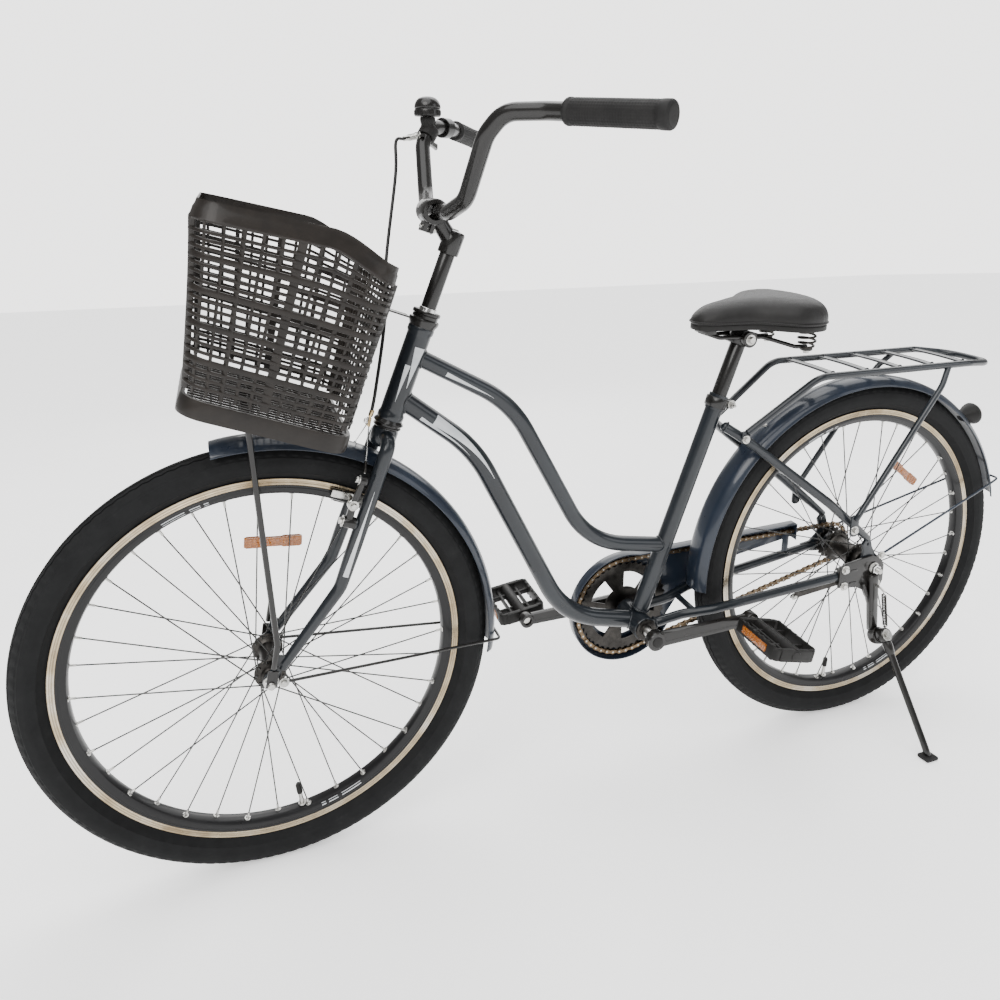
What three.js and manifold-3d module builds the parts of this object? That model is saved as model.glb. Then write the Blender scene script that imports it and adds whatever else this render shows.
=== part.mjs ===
// A step-through city bicycle standing on its side stand.
//
// The bicycle is drawn upright in its own axes: X forward, Y to the rider's left, Z up, with the
// origin on the ground under the rear axle.  A group then turns it so that its front points to -X,
// leans it on the side stand, and puts the origin under the middle of the whole object.

import * as THREE from 'three';
import { mergeVertices } from 'three/addons/utils/BufferGeometryUtils.js';
import Module from 'manifold-3d';

const wasm = await Module();
wasm.setup();

// ---------------------------------------------------------------- driving dimensions (mm, degrees)

const LEAN = 7.6;
const GAP = 0.3;

const WHEEL_RADIUS = 332;
const WHEELBASE = 1052;
const TYRE_HEIGHT = 24;
const TYRE_HALF_WIDTH = 23;
const RIM_RADIUS = 283;
const RIM_DEPTH = 25;
const RIM_HALF_WIDTH = 12.5;
const WHEEL_SIDES = 32;
const SPOKE_COUNT = 36;
const SPOKE_CROSS = 60;
const SPOKE_THICKNESS = 1.6;

const BRACKET_X = 448;
const BRACKET_Z = 279;
const SEAT_ANGLE = 70.6;
const SEAT_TUBE_LENGTH = 412;
const SEAT_TUBE_RADIUS = 14.3;
const HEAD_ANGLE = 69.36;
const FORK_OFFSET = 51;
const HEAD_LOW = 392;
const HEAD_LENGTH = 139;
const HEAD_TUBE_RADIUS = 17.5;
const STEERER_RADIUS = 12.7;
const QUILL_RADIUS = 11;

const CRANK_LENGTH = 168;
const CRANK_ANGLE = 6.5;
const CHAIN_Y = -46;
const CHAINRING_PITCH = 89;
const SPROCKET_PITCH = 36.6;
const CHAIN_HALF_HEIGHT = 4.3;
const CHAIN_WIDTH = 7;
const PEDAL_Y = 152;

const BAR_RADIUS = 11.1;
const GRIP_RADIUS = 16;
const GUARD_RADIUS = 343;
const GUARD_HALF_WIDTH = 28;
const RACK_HEIGHT = 700;
const RACK_HALF_WIDTH = 60;

// ---------------------------------------------------------------------------- colours and finishes

function finish(color, roughness, metalness) {
  return { color, roughness, metalness };
}

const SLATE_PAINT = finish(0x222a33, 0.25, 0.3);
const NAVY_PAINT = finish(0x27344a, 0.3, 0.3);
const BLACK_PAINT = finish(0x0c0b0b, 0.25, 0.3);
const BLACK_PLASTIC = finish(0x141414, 0.6, 0);
const TYRE_RUBBER = finish(0x17181a, 0.9, 0);
const TUBE_RUBBER = finish(0x0e0e0e, 0.8, 0);
const VINYL = finish(0x1a1817, 0.5, 0);
const ALLOY = finish(0xb9b4a8, 0.35, 0.9);
const STEEL = finish(0x8a8d90, 0.35, 0.9);
const CHAIN_STEEL = finish(0x4a4038, 0.5, 0.8);
const AMBER = finish(0xf0a010, 0.3, 0);
const LAMP_RED = finish(0x5a1010, 0.3, 0);

// ------------------------------------------------------------------------------------ small helpers

const rad = THREE.MathUtils.degToRad;

function vec(x, y, z) {
  return new THREE.Vector3(x, y, z);
}

function circlePoints(radius, sides, clockwise = false) {
  const turn = clockwise ? -1 : 1;
  return Array.from({ length: sides }, (_, i) => {
    const angle = (turn * 2 * Math.PI * i) / sides;
    return new THREE.Vector2(radius * Math.cos(angle), radius * Math.sin(angle));
  });
}

function circleShape(radius, sides, boreRadius = 0) {
  const shape = new THREE.Shape(circlePoints(radius, sides));
  if (boreRadius > 0) {
    shape.holes.push(new THREE.Path(circlePoints(boreRadius, sides, true)));
  }
  return shape;
}

// A polyline whose corners are rounded, as a bent tube's are.
function bentPath(points, bend) {
  const path = new THREE.CurvePath();
  let from = points[0];
  for (let i = 1; i < points.length - 1; i += 1) {
    const corner = points[i];
    const before = points[i - 1].clone().sub(corner);
    const after = points[i + 1].clone().sub(corner);
    const halfTurn = (Math.PI - before.angleTo(after)) / 2;
    const room = Math.min(before.length(), after.length()) * 0.48;
    const cut = Math.min(bend * Math.tan(halfTurn), room);
    const start = corner.clone().addScaledVector(before.normalize(), cut);
    const end = corner.clone().addScaledVector(after.normalize(), cut);
    path.add(new THREE.LineCurve3(from, start));
    path.add(new THREE.QuadraticBezierCurve3(start, corner, end));
    from = end;
  }
  path.add(new THREE.LineCurve3(from, points[points.length - 1]));
  return path;
}

function tube(points, radius, { sides = 8, steps = 12, bend = 60 } = {}) {
  const options = { extrudePath: bentPath(points, bend), steps, bevelEnabled: false };
  return new THREE.ExtrudeGeometry(circleShape(radius, sides), options);
}

// A straight round bar from one point to another, hollow if it has a bore.
function rod(from, to, radius, sides = 12, bore = 0) {
  const length = from.distanceTo(to);
  const shape = circleShape(radius, sides, bore);
  const geometry = new THREE.ExtrudeGeometry(shape, { depth: length, bevelEnabled: false });
  const direction = to.clone().sub(from).normalize();
  geometry.applyQuaternion(new THREE.Quaternion().setFromUnitVectors(vec(0, 0, 1), direction));
  return geometry.translate(from.x, from.y, from.z);
}

function block(size, centre) {
  return new THREE.BoxGeometry(size.x, size.y, size.z).translate(centre.x, centre.y, centre.z);
}

// A flat plate in the XZ plane: the shape's y becomes Z, and it spans lowY to highY.
function sidePlate(shape, lowY, highY) {
  const geometry = new THREE.ExtrudeGeometry(shape, { depth: highY - lowY, bevelEnabled: false });
  return geometry.rotateX(Math.PI / 2).translate(0, highY, 0);
}

// A solid of revolution about Y, turned by half a facet so that it stands on a flat of its rim.
function turned(profile, sides) {
  const points = profile.map(([radius, y]) => new THREE.Vector2(radius, y));
  return new THREE.LatheGeometry(points, sides).rotateY(Math.PI / sides);
}

function toManifold(geometry) {
  const bare = geometry.clone();
  bare.deleteAttribute('normal');
  bare.deleteAttribute('uv');
  const merged = mergeVertices(bare, 1e-4);
  const corners = [];
  for (let i = 0; i < merged.index.count; i += 3) {
    const face = [merged.index.getX(i), merged.index.getX(i + 1), merged.index.getX(i + 2)];
    if (new Set(face).size === 3) {
      corners.push(...face);
    }
  }
  const vertProperties = new Float32Array(merged.attributes.position.array);
  return new wasm.Manifold(new wasm.Mesh({ numProp: 3, vertProperties, triVerts: new Uint32Array(corners) }));
}

function toGeometry(solid) {
  const mesh = solid.getMesh();
  const geometry = new THREE.BufferGeometry();
  geometry.setAttribute('position', new THREE.BufferAttribute(new Float32Array(mesh.vertProperties), 3));
  geometry.setIndex(new THREE.BufferAttribute(new Uint32Array(mesh.triVerts), 1));
  return geometry;
}

function join(...geometries) {
  const solids = geometries.map(toManifold);
  return toGeometry(solids.reduce((sum, solid) => sum.add(solid)));
}

// Cuts the tools from a solid and keeps its largest piece, so that no loose sliver is left.
function cut(geometry, ...tools) {
  const solid = tools.map(toManifold).reduce((rest, tool) => rest.subtract(tool), toManifold(geometry));
  const pieces = solid.decompose().sort((a, b) => b.volume() - a.volume());
  return toGeometry(pieces[0]);
}

function addPiece(group, name, geometry, look) {
  const mesh = new THREE.Mesh(geometry, new THREE.MeshStandardMaterial(look));
  mesh.name = name;
  group.add(mesh);
  return mesh;
}

// ------------------------------------------------------------------------------- main frame points

const REAR_AXLE = vec(0, 0, WHEEL_RADIUS);
const FRONT_AXLE = vec(WHEELBASE, 0, WHEEL_RADIUS);
const BRACKET = vec(BRACKET_X, 0, BRACKET_Z);

const SEAT_DIRECTION = vec(-Math.cos(rad(SEAT_ANGLE)), 0, Math.sin(rad(SEAT_ANGLE)));
const STEER_UP = vec(-Math.cos(rad(HEAD_ANGLE)), 0, Math.sin(rad(HEAD_ANGLE)));
const STEER_FORWARD = vec(STEER_UP.z, 0, -STEER_UP.x);
const STEER_FOOT = FRONT_AXLE.clone().addScaledVector(STEER_FORWARD, -FORK_OFFSET);

// A point on the seat tube's axis, at a distance up from the bottom bracket.
function seatPoint(distance, side = 0) {
  return BRACKET.clone().addScaledVector(SEAT_DIRECTION, distance).setY(side);
}

// A point of the steered parts: forward of the steering axis, to the left, and up along the axis.
function steerPoint(forward, left, up) {
  const point = STEER_FOOT.clone().addScaledVector(STEER_FORWARD, forward);
  return point.addScaledVector(STEER_UP, up).setY(left);
}

// Moves geometry drawn in steering axes (X forward, Y left, Z up the steering axis) into place.
function intoSteering(geometry) {
  const matrix = new THREE.Matrix4().makeBasis(STEER_FORWARD, vec(0, 1, 0), STEER_UP);
  return geometry.applyMatrix4(matrix.setPosition(STEER_FOOT));
}

// ------------------------------------------------------------------------------------------- frame

const HEAD_AXIS_LOW = steerPoint(0, 0, HEAD_LOW);
const HEAD_AXIS_HIGH = steerPoint(0, 0, HEAD_LOW + HEAD_LENGTH);
const STAY_RADIUS = 8;
const DROPOUT_Y = 57.5;
const DROPOUT_THICKNESS = 5;

function seatTubeEnvelope() {
  return rod(seatPoint(-30), seatPoint(SEAT_TUBE_LENGTH + 30), SEAT_TUBE_RADIUS + GAP, 16);
}

function headTubeEnvelope() {
  return rod(steerPoint(0, 0, HEAD_LOW - 30), steerPoint(0, 0, 600), HEAD_TUBE_RADIUS + GAP, 16);
}

function bracketEnvelope() {
  return rod(vec(BRACKET_X, -60, BRACKET_Z), vec(BRACKET_X, 60, BRACKET_Z), 20 + GAP, 20);
}

function upperTube() {
  const points = [steerPoint(0, 0, HEAD_LOW + 98), vec(681, 0, 687), vec(545, 0, 437), seatPoint(140)];
  const raw = tube(points, 12.7, { sides: 10, steps: 16, bend: 190 });
  return cut(raw, headTubeEnvelope(), seatTubeEnvelope());
}

function downTube() {
  const points = [steerPoint(0, 0, HEAD_LOW + 34), vec(740, 0, 622), vec(583, 0, 312), BRACKET];
  const raw = tube(points, 14.6, { sides: 10, steps: 16, bend: 230 });
  return cut(raw, headTubeEnvelope(), bracketEnvelope());
}

// One chain stay with the flat dropout plate that holds the axle.
function chainStay(side) {
  const points = [
    vec(BRACKET_X, side * 27, 282),
    vec(372, side * 27, 290),
    vec(322, side * 41, 297),
    vec(26, side * DROPOUT_Y, 326),
  ];
  const outline = new THREE.Shape();
  outline.moveTo(48, 318);
  outline.lineTo(48, 332);
  outline.lineTo(22, 350);
  outline.lineTo(22, 374);
  outline.lineTo(6, 382);
  outline.lineTo(-12, 350);
  outline.lineTo(-14, 314);
  outline.lineTo(20, 312);
  const lowY = side * DROPOUT_Y - DROPOUT_THICKNESS / 2;
  const plate = sidePlate(outline, lowY, lowY + DROPOUT_THICKNESS);
  const stay = tube(points, STAY_RADIUS, { sides: 8, steps: 10, bend: 60 });
  const axleHole = rod(vec(0, side * 40, WHEEL_RADIUS), vec(0, side * 80, WHEEL_RADIUS), 5.4, 12);
  return cut(join(stay, plate), bracketEnvelope(), axleHole);
}

function seatStay(side) {
  const points = [
    seatPoint(SEAT_TUBE_LENGTH - 42, side * 8),
    vec(278, side * 38, 596),
    vec(112, side * 60, 470),
    vec(14, side * DROPOUT_Y, 388),
  ];
  const raw = tube(points, STAY_RADIUS, { sides: 8, steps: 10, bend: 120 });
  const rightHalf = block(vec(900, 60, 900), vec(300, -side * (30 - GAP / 2), 500));
  return cut(raw, seatTubeEnvelope(), rightHalf);
}

function addFrame(group) {
  const head = rod(HEAD_AXIS_LOW, HEAD_AXIS_HIGH, HEAD_TUBE_RADIUS, 16, STEERER_RADIUS + 2);
  addPiece(group, 'head_tube', head, SLATE_PAINT);
  addPiece(group, 'upper_tube', upperTube(), SLATE_PAINT);
  addPiece(group, 'down_tube', downTube(), SLATE_PAINT);
  const seat = rod(BRACKET, seatPoint(SEAT_TUBE_LENGTH), SEAT_TUBE_RADIUS, 16, 13);
  addPiece(group, 'seat_tube', cut(seat, bracketEnvelope()), SLATE_PAINT);
  const shell = rod(vec(BRACKET_X, -34, BRACKET_Z), vec(BRACKET_X, 34, BRACKET_Z), 20, 20, 12);
  addPiece(group, 'bottom_bracket_shell', shell, SLATE_PAINT);
  addPiece(group, 'chain_stay_left', chainStay(1), SLATE_PAINT);
  addPiece(group, 'chain_stay_right', chainStay(-1), SLATE_PAINT);
  addPiece(group, 'seat_stay_left', seatStay(1), SLATE_PAINT);
  addPiece(group, 'seat_stay_right', seatStay(-1), SLATE_PAINT);
}

// ------------------------------------------------------------- headset, seat clamp and rear fittings

// A headset cup: a flanged ring whose bore clears the steerer.
function headsetCup(low, high) {
  const bore = STEERER_RADIUS + 0.6;
  const profile = [
    [bore, low],
    [20, low],
    [22, low + 3],
    [22, high - 3],
    [20, high],
    [bore, high],
    [bore, low],
  ];
  const ring = new THREE.LatheGeometry(profile.map(([r, z]) => new THREE.Vector2(r, z)), 20);
  return intoSteering(ring.rotateX(Math.PI / 2));
}

function seatClamp() {
  const low = seatPoint(SEAT_TUBE_LENGTH - 22);
  const high = seatPoint(SEAT_TUBE_LENGTH - 6);
  const ring = rod(low, high, SEAT_TUBE_RADIUS + 4, 16);
  const middle = seatPoint(SEAT_TUBE_LENGTH - 14);
  const ear = block(vec(16, 16, 14), vec(middle.x - 24, 0, middle.z - 4));
  const bolt = rod(vec(middle.x - 25, -20, middle.z - 4), vec(middle.x - 25, 20, middle.z - 4), 4, 8);
  return cut(join(ring, ear, bolt), seatTubeEnvelope());
}

// An axle with a hexagonal nut on each end.
function axle(halfLength, nutY, nutThickness, threadRadius) {
  const bar = rod(vec(0, -halfLength, 0), vec(0, halfLength, 0), threadRadius, 12);
  const nuts = [-1, 1].map((side) => {
    return rod(vec(0, side * nutY, 0), vec(0, side * (nutY + nutThickness), 0), 9, 6);
  });
  return join(bar, ...nuts);
}

// The mudguard's crowned section swept round the wheel between two angles (from forward, over the top).
function mudguard(fromAngle, toAngle, steps) {
  const section = [
    [-14, GUARD_HALF_WIDTH],
    [0, GUARD_HALF_WIDTH - 12],
    [0, 12 - GUARD_HALF_WIDTH],
    [-14, -GUARD_HALF_WIDTH],
    [-14, 2 - GUARD_HALF_WIDTH],
    [-1.8, 13 - GUARD_HALF_WIDTH],
    [-1.8, GUARD_HALF_WIDTH - 13],
    [-14, GUARD_HALF_WIDTH - 2],
  ];
  const positions = [];
  for (let i = 0; i <= steps; i += 1) {
    const angle = rad(fromAngle + ((toAngle - fromAngle) * i) / steps);
    section.forEach(([out, y]) => {
      const radius = GUARD_RADIUS + out;
      positions.push(radius * Math.cos(angle), y, radius * Math.sin(angle));
    });
  }
  const count = section.length;
  const faces = [];
  for (let i = 0; i < steps; i += 1) {
    for (let j = 0; j < count; j += 1) {
      const a = i * count + j;
      const b = i * count + ((j + 1) % count);
      faces.push(a, a + count, b, b, a + count, b + count);
    }
  }
  const lids = THREE.ShapeUtils.triangulateShape(section.map(([x, y]) => new THREE.Vector2(x, y)), []);
  lids.forEach(([a, b, c]) => {
    faces.push(a, c, b);
    faces.push(steps * count + a, steps * count + b, steps * count + c);
  });
  const geometry = new THREE.BufferGeometry();
  geometry.setAttribute('position', new THREE.Float32BufferAttribute(positions, 3));
  geometry.setIndex(faces);
  return geometry;
}

// A wire stay: from one side of the axle, out to the mudguard, across it and back to the other side.
function guardStay(axlePoint, halfWidth, guardAngle) {
  const reach = GUARD_RADIUS + 3.2;
  const out = vec(reach * Math.cos(rad(guardAngle)), 0, reach * Math.sin(rad(guardAngle)));
  const low = vec(out.x * 0.93, 0, out.z * 0.93);
  const side = (sign) => [
    vec(axlePoint.x, sign * halfWidth, axlePoint.z),
    vec(low.x, sign * (GUARD_HALF_WIDTH + 5), low.z),
    vec(out.x, sign * (GUARD_HALF_WIDTH + 3), out.z),
  ];
  return tube([...side(1), ...side(-1).reverse()], 2.2, { sides: 5, steps: 26, bend: 8 });
}

// The carrier: a U-shaped hoop with flat slats, two bent front legs and two rear legs.
function rearRack() {
  const pieces = [];
  const hoop = [];
  const left = [
    vec(283, 46, 612),
    vec(160, RACK_HALF_WIDTH, RACK_HEIGHT),
    vec(-170, RACK_HALF_WIDTH, RACK_HEIGHT),
  ];
  const rear = [vec(-242, 44, RACK_HEIGHT - 8)];
  hoop.push(...left, ...rear);
  [...left, ...rear].reverse().forEach((point) => hoop.push(vec(point.x, -point.y, point.z)));
  pieces.push(tube(hoop, 6, { sides: 6, steps: 28, bend: 60 }));
  for (let i = 0; i < 5; i += 1) {
    const x = 128 - i * 72;
    pieces.push(block(vec(16, 2 * RACK_HALF_WIDTH, 5), vec(x, 0, RACK_HEIGHT + 1)));
  }
  [-1, 1].forEach((side) => {
    const leg = [
      vec(-122, side * RACK_HALF_WIDTH, RACK_HEIGHT),
      vec(-96, side * 74, 668),
      vec(66, side * 77, 440),
    ];
    pieces.push(tube(leg, 5, { sides: 6, steps: 5, bend: 60 }));
    pieces.push(block(vec(18, 3, 30), vec(66, side * 75, 428)));
  });
  return join(...pieces);
}

function tailLamp() {
  const profile = [
    [0, 0],
    [9, 0],
    [12, 12],
    [19, 26],
    [21, 38],
    [14, 45],
    [0, 47],
  ];
  const lamp = new THREE.LatheGeometry(profile.map(([r, z]) => new THREE.Vector2(r, z)), 12);
  const angle = rad(134);
  lamp.rotateZ(Math.PI / 2).rotateY(rad(-8));
  const reach = GUARD_RADIUS - 6;
  lamp.translate(reach * Math.cos(angle), 0, WHEEL_RADIUS + reach * Math.sin(angle));
  const guard = rod(vec(0, -60, WHEEL_RADIUS), vec(0, 60, WHEEL_RADIUS), GUARD_RADIUS + 1, 72);
  return cut(lamp, guard);
}

// The outline of the loop of chain, or of anything at an offset from it, round both sprockets.
function chainOutline(offset) {
  const big = CHAINRING_PITCH + offset;
  const small = SPROCKET_PITCH + offset;
  const along = BRACKET.clone().sub(REAR_AXLE);
  const distance = along.length();
  const slope = Math.atan2(along.z, along.x);
  const spread = Math.PI - Math.acos((big - small) / distance);
  const points = [];
  const arc = (centre, radius, from, to, steps) => {
    for (let i = 0; i <= steps; i += 1) {
      const angle = from + ((to - from) * i) / steps;
      const x = centre.x + radius * Math.cos(angle);
      const z = centre.z + radius * Math.sin(angle);
      points.push(new THREE.Vector2(x, z));
    }
  };
  arc(BRACKET, big, slope - spread, slope + spread, 18);
  arc(REAR_AXLE, small, slope + spread, slope + 2 * Math.PI - spread, 12);
  return points;
}

function chain() {
  const shape = new THREE.Shape(chainOutline(CHAIN_HALF_HEIGHT));
  shape.holes.push(new THREE.Path(chainOutline(-CHAIN_HALF_HEIGHT).reverse()));
  return sidePlate(shape, CHAIN_Y - CHAIN_WIDTH / 2, CHAIN_Y + CHAIN_WIDTH / 2);
}

const CASE_RADIUS = 101;
const CASE_OUTER_Y = -56;

// The chain guard's side view: a disc round the chainring with a tail over the upper run of chain.
function caseOutline(inset) {
  const radius = CASE_RADIUS - inset;
  const points = [];
  for (let i = 0; i <= 24; i += 1) {
    const angle = rad(-155 + (260 * i) / 24);
    const x = BRACKET_X + radius * Math.cos(angle);
    const z = BRACKET_Z + radius * Math.sin(angle);
    points.push(new THREE.Vector2(x, z));
  }
  points.push(new THREE.Vector2(88 + inset, 385 - inset));
  points.push(new THREE.Vector2(88 + inset, 352 + inset));
  points.push(new THREE.Vector2(300, 318 + inset));
  return points;
}

function chainGuard() {
  const outer = sidePlate(new THREE.Shape(caseOutline(0)), CASE_OUTER_Y, CASE_OUTER_Y + 18);
  const inner = sidePlate(new THREE.Shape(caseOutline(1.6)), CASE_OUTER_Y + 1.6, CASE_OUTER_Y + 30);
  const window = rod(vec(BRACKET_X, -80, BRACKET_Z), vec(BRACKET_X, 0, BRACKET_Z), 62, 20);
  const chainWay = block(vec(400, 30, 200), vec(240, CASE_OUTER_Y + 1.6 + 15, 216));
  const tailWay = block(vec(60, 30, 120), vec(80, CASE_OUTER_Y + 1.6 + 15, 350));
  return cut(outer, inner, window, chainWay, tailWay);
}

function addFittings(group) {
  addPiece(group, 'headset_lower_cup', headsetCup(HEAD_LOW - 13, HEAD_LOW - GAP), BLACK_PAINT);
  const top = HEAD_LOW + HEAD_LENGTH;
  addPiece(group, 'headset_upper_cup', headsetCup(top + GAP, top + 24), BLACK_PAINT);
  addPiece(group, 'seat_clamp', seatClamp(), BLACK_PAINT);
  addPiece(group, 'rear_axle', axle(82, 65.4, 9, 5).translate(0, 0, WHEEL_RADIUS), STEEL);
  addPiece(group, 'rear_mudguard', mudguard(-2, 166, 22).translate(0, 0, WHEEL_RADIUS), NAVY_PAINT);
  const stay = guardStay(vec(-16, 0, 22), 62.6, 160).translate(0, 0, WHEEL_RADIUS);
  addPiece(group, 'rear_mudguard_stay', stay, NAVY_PAINT);
  addPiece(group, 'rear_rack', rearRack(), SLATE_PAINT);
  addPiece(group, 'tail_lamp', tailLamp(), LAMP_RED);
  addPiece(group, 'chain_guard', chainGuard(), NAVY_PAINT);
  addPiece(group, 'chain', chain(), CHAIN_STEEL);
}

// The arm that holds the coaster brake against the left chain stay.
function brakeArm() {
  const bar = new THREE.Shape();
  bar.moveTo(-12, 346);
  bar.lineTo(14, 346);
  bar.lineTo(38, 314);
  bar.lineTo(165, 299);
  bar.lineTo(165, 290);
  bar.lineTo(30, 304);
  bar.lineTo(-12, 318);
  const hole = rod(vec(0, 40, WHEEL_RADIUS), vec(0, 60, WHEEL_RADIUS), 5.4, 12);
  return cut(sidePlate(bar, 46.4, 49.2), hole);
}

// -------------------------------------------------------------------------------------- side stand

const STAND_PIVOT = vec(-20, 88, 205);
const STAND_AXIS = vec(0, 0.85099, 0.52519);
const STAND_FOOT = vec(-32, 200, 0);
const GROUND_NORMAL = vec(0, -Math.sin(rad(LEAN)), Math.cos(rad(LEAN)));

// A point on the leg's hinge axis, at a distance out from the middle of its boss.
function standAlong(distance) {
  return STAND_PIVOT.clone().addScaledVector(STAND_AXIS, distance);
}

function standBracket() {
  const plate = new THREE.Shape();
  plate.moveTo(74, 306);
  plate.lineTo(74, 342);
  plate.lineTo(10, 352);
  plate.lineTo(-16, 346);
  plate.lineTo(-24, 300);
  plate.lineTo(-6, 284);
  plate.lineTo(34, 300);
  const side = sidePlate(plate, 60.5, 65);
  const armPath = [vec(4, 68, 322), vec(-4, 66, 272), vec(-19, 59, 200)];
  const arm = tube(armPath, 9.5, { sides: 8, steps: 8, bend: 60 });
  const pin = rod(standAlong(-32), standAlong(-8.8), 15, 12);
  const clampTop = block(vec(26, 15, 6), vec(60, 57.6, 336));
  const clampLow = block(vec(26, 15, 6), vec(60, 57.6, 309));
  const stayWay = tube(
    [vec(322, 41, 297), vec(26, DROPOUT_Y, 326)],
    STAY_RADIUS + GAP,
    { sides: 8, steps: 1 },
  );
  const axleHole = rod(vec(0, 40, WHEEL_RADIUS), vec(0, 80, WHEEL_RADIUS), 9.6, 16);
  const dropout = block(vec(80, 5.6, 90), vec(18, DROPOUT_Y, 345));
  return cut(join(side, arm, pin, clampTop, clampLow), stayWay, axleHole, dropout);
}

// The leg: a round boss on the pivot, a straight bar and a foot bent flat to the ground.
function standLeg(ground) {
  const foot = STAND_FOOT.clone();
  foot.z = (ground - GROUND_NORMAL.y * foot.y) / GROUND_NORMAL.z;
  const ankle = vec(-30, 188, foot.z + 26);
  const boss = rod(standAlong(-8.4), standAlong(8), 13, 12);
  const leg = rod(STAND_PIVOT, ankle, 6, 10);
  const shin = rod(ankle, foot.clone().addScaledVector(GROUND_NORMAL, 6), 6, 10);
  const knuckle = new THREE.SphereGeometry(6.4, 8, 5).translate(ankle.x, ankle.y, ankle.z);
  const shoe = new THREE.BoxGeometry(26, 24, 8);
  shoe.applyQuaternion(new THREE.Quaternion().setFromUnitVectors(vec(0, 0, 1), GROUND_NORMAL));
  const middle = foot.clone().addScaledVector(GROUND_NORMAL, 4);
  return join(boss, leg, knuckle, shin, shoe.translate(middle.x, middle.y, middle.z));
}

function addStand(group, ground) {
  addPiece(group, 'coaster_brake_arm', brakeArm(), STEEL);
  addPiece(group, 'kickstand_bracket', standBracket(), BLACK_PAINT);
  addPiece(group, 'kickstand_leg', standLeg(ground), BLACK_PAINT);
  const spring = rod(vec(-4, 90, 296), vec(-16, 92, 222), 4.6, 8);
  addPiece(group, 'kickstand_spring', spring, STEEL);
}

// ---------------------------------------------------------------------------- fork, stem and cockpit

function forkBlade(side) {
  const points = [
    steerPoint(0, side * 4, 370),
    steerPoint(0, side * 40, 366),
    steerPoint(0, side * 47, 150),
    steerPoint(FORK_OFFSET - 8, side * 52, 22),
  ];
  return tube(points, 10.5, { sides: 8, steps: 11, bend: 46 });
}

function fork() {
  const steererTop = vec(0, 0, HEAD_LOW + HEAD_LENGTH + 30);
  const steerer = intoSteering(rod(vec(0, 0, 352), steererTop, STEERER_RADIUS, 16));
  const crown = intoSteering(rod(vec(0, 0, 352), vec(0, 0, HEAD_LOW - 13 - GAP), 19, 16));
  const dropouts = [-1, 1].map((side) => {
    const size = vec(20, 4, 52);
    return intoSteering(block(size, vec(FORK_OFFSET - 3, side * 52, 10)));
  });
  const bore = intoSteering(rod(vec(0, 0, 400), vec(0, 0, 600), QUILL_RADIUS + 0.5, 16));
  const axleWay = rod(vec(WHEELBASE, -80, WHEEL_RADIUS), vec(WHEELBASE, 80, WHEEL_RADIUS), 5.4, 12);
  return cut(join(steerer, crown, forkBlade(1), forkBlade(-1), ...dropouts), bore, axleWay);
}

const BAR_CENTRE_FORWARD = 41;
const BAR_CENTRE_UP = 688;

const BAR_PATH = [
  vec(793, 58, 973),
  vec(783, 102, 990),
  vec(774, 154, 1068),
  vec(756, 168, 1094),
  vec(716, 202, 1094),
  vec(634, 332, 1084),
];

function barPoint(index, side) {
  const point = BAR_PATH[index];
  return vec(point.x, side * point.y, point.z);
}

function handlebar(radius = BAR_RADIUS) {
  const left = BAR_PATH.map((_, i) => barPoint(i, 1));
  const right = BAR_PATH.map((_, i) => barPoint(i, -1));
  return tube([...left.reverse(), ...right], radius, { sides: 8, steps: 42, bend: 44 });
}

function stem() {
  const top = 668;
  const quill = intoSteering(rod(vec(0, 0, 470), vec(0, 0, top), QUILL_RADIUS, 16));
  const collar = intoSteering(rod(vec(0, 0, 640), vec(0, 0, top + 6), 15, 16));
  const reach = steerPoint(BAR_CENTRE_FORWARD, 0, BAR_CENTRE_UP);
  const arm = rod(steerPoint(0, 0, top - 10), reach, 13, 12);
  const clamp = rod(vec(reach.x, -22, reach.z), vec(reach.x, 22, reach.z), 18, 16);
  return cut(join(quill, collar, arm, clamp), handlebar(BAR_RADIUS + GAP));
}

function grip(side) {
  const inner = barPoint(4, side).lerp(barPoint(5, side), 0.18);
  const outer = barPoint(5, side);
  const direction = outer.clone().sub(inner).normalize();
  const cap = outer.clone().addScaledVector(direction, 5);
  const sleeve = rod(inner, cap, GRIP_RADIUS, 14);
  const boreStart = inner.clone().addScaledVector(direction, -5);
  const bore = rod(boreStart, outer.addScaledVector(direction, GAP), 12, 14);
  return cut(sleeve, bore);
}

// The lever housing: a band on the bar, an arm forward to the pivot and a barrel for the cable.
const CABLE_EXIT = vec(796, -186, 1076);

function leverBody() {
  const bandCentre = barPoint(4, -1).lerp(barPoint(3, -1), 0.3);
  const along = barPoint(3, -1).sub(barPoint(4, -1)).normalize();
  const from = bandCentre.clone().addScaledVector(along, -9);
  const to = bandCentre.clone().addScaledVector(along, 9);
  const band = rod(from, to, 16, 10);
  const arm = rod(bandCentre, vec(752, -206, 1084), 8, 8);
  const housing = rod(vec(748, -212, 1084), vec(772, -198, 1081), 9, 10);
  const barrel = rod(vec(768, -200, 1081.5), CABLE_EXIT, 5, 8);
  const pivotWay = rod(vec(752, -224, 1060), vec(752, -224, 1110), 8.8, 16);
  return cut(join(band, arm, housing, barrel), handlebar(BAR_RADIUS + GAP), pivotWay);
}

function leverBlade() {
  const points = [vec(751, -227, 1083), vec(742, -262, 1080), vec(700, -352, 1070)];
  const blade = tube(points, 5.5, { sides: 8, steps: 10, bend: 40 });
  const boss = rod(vec(752, -224, 1075), vec(752, -224, 1091), 8, 12);
  return join(blade, boss);
}

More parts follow.
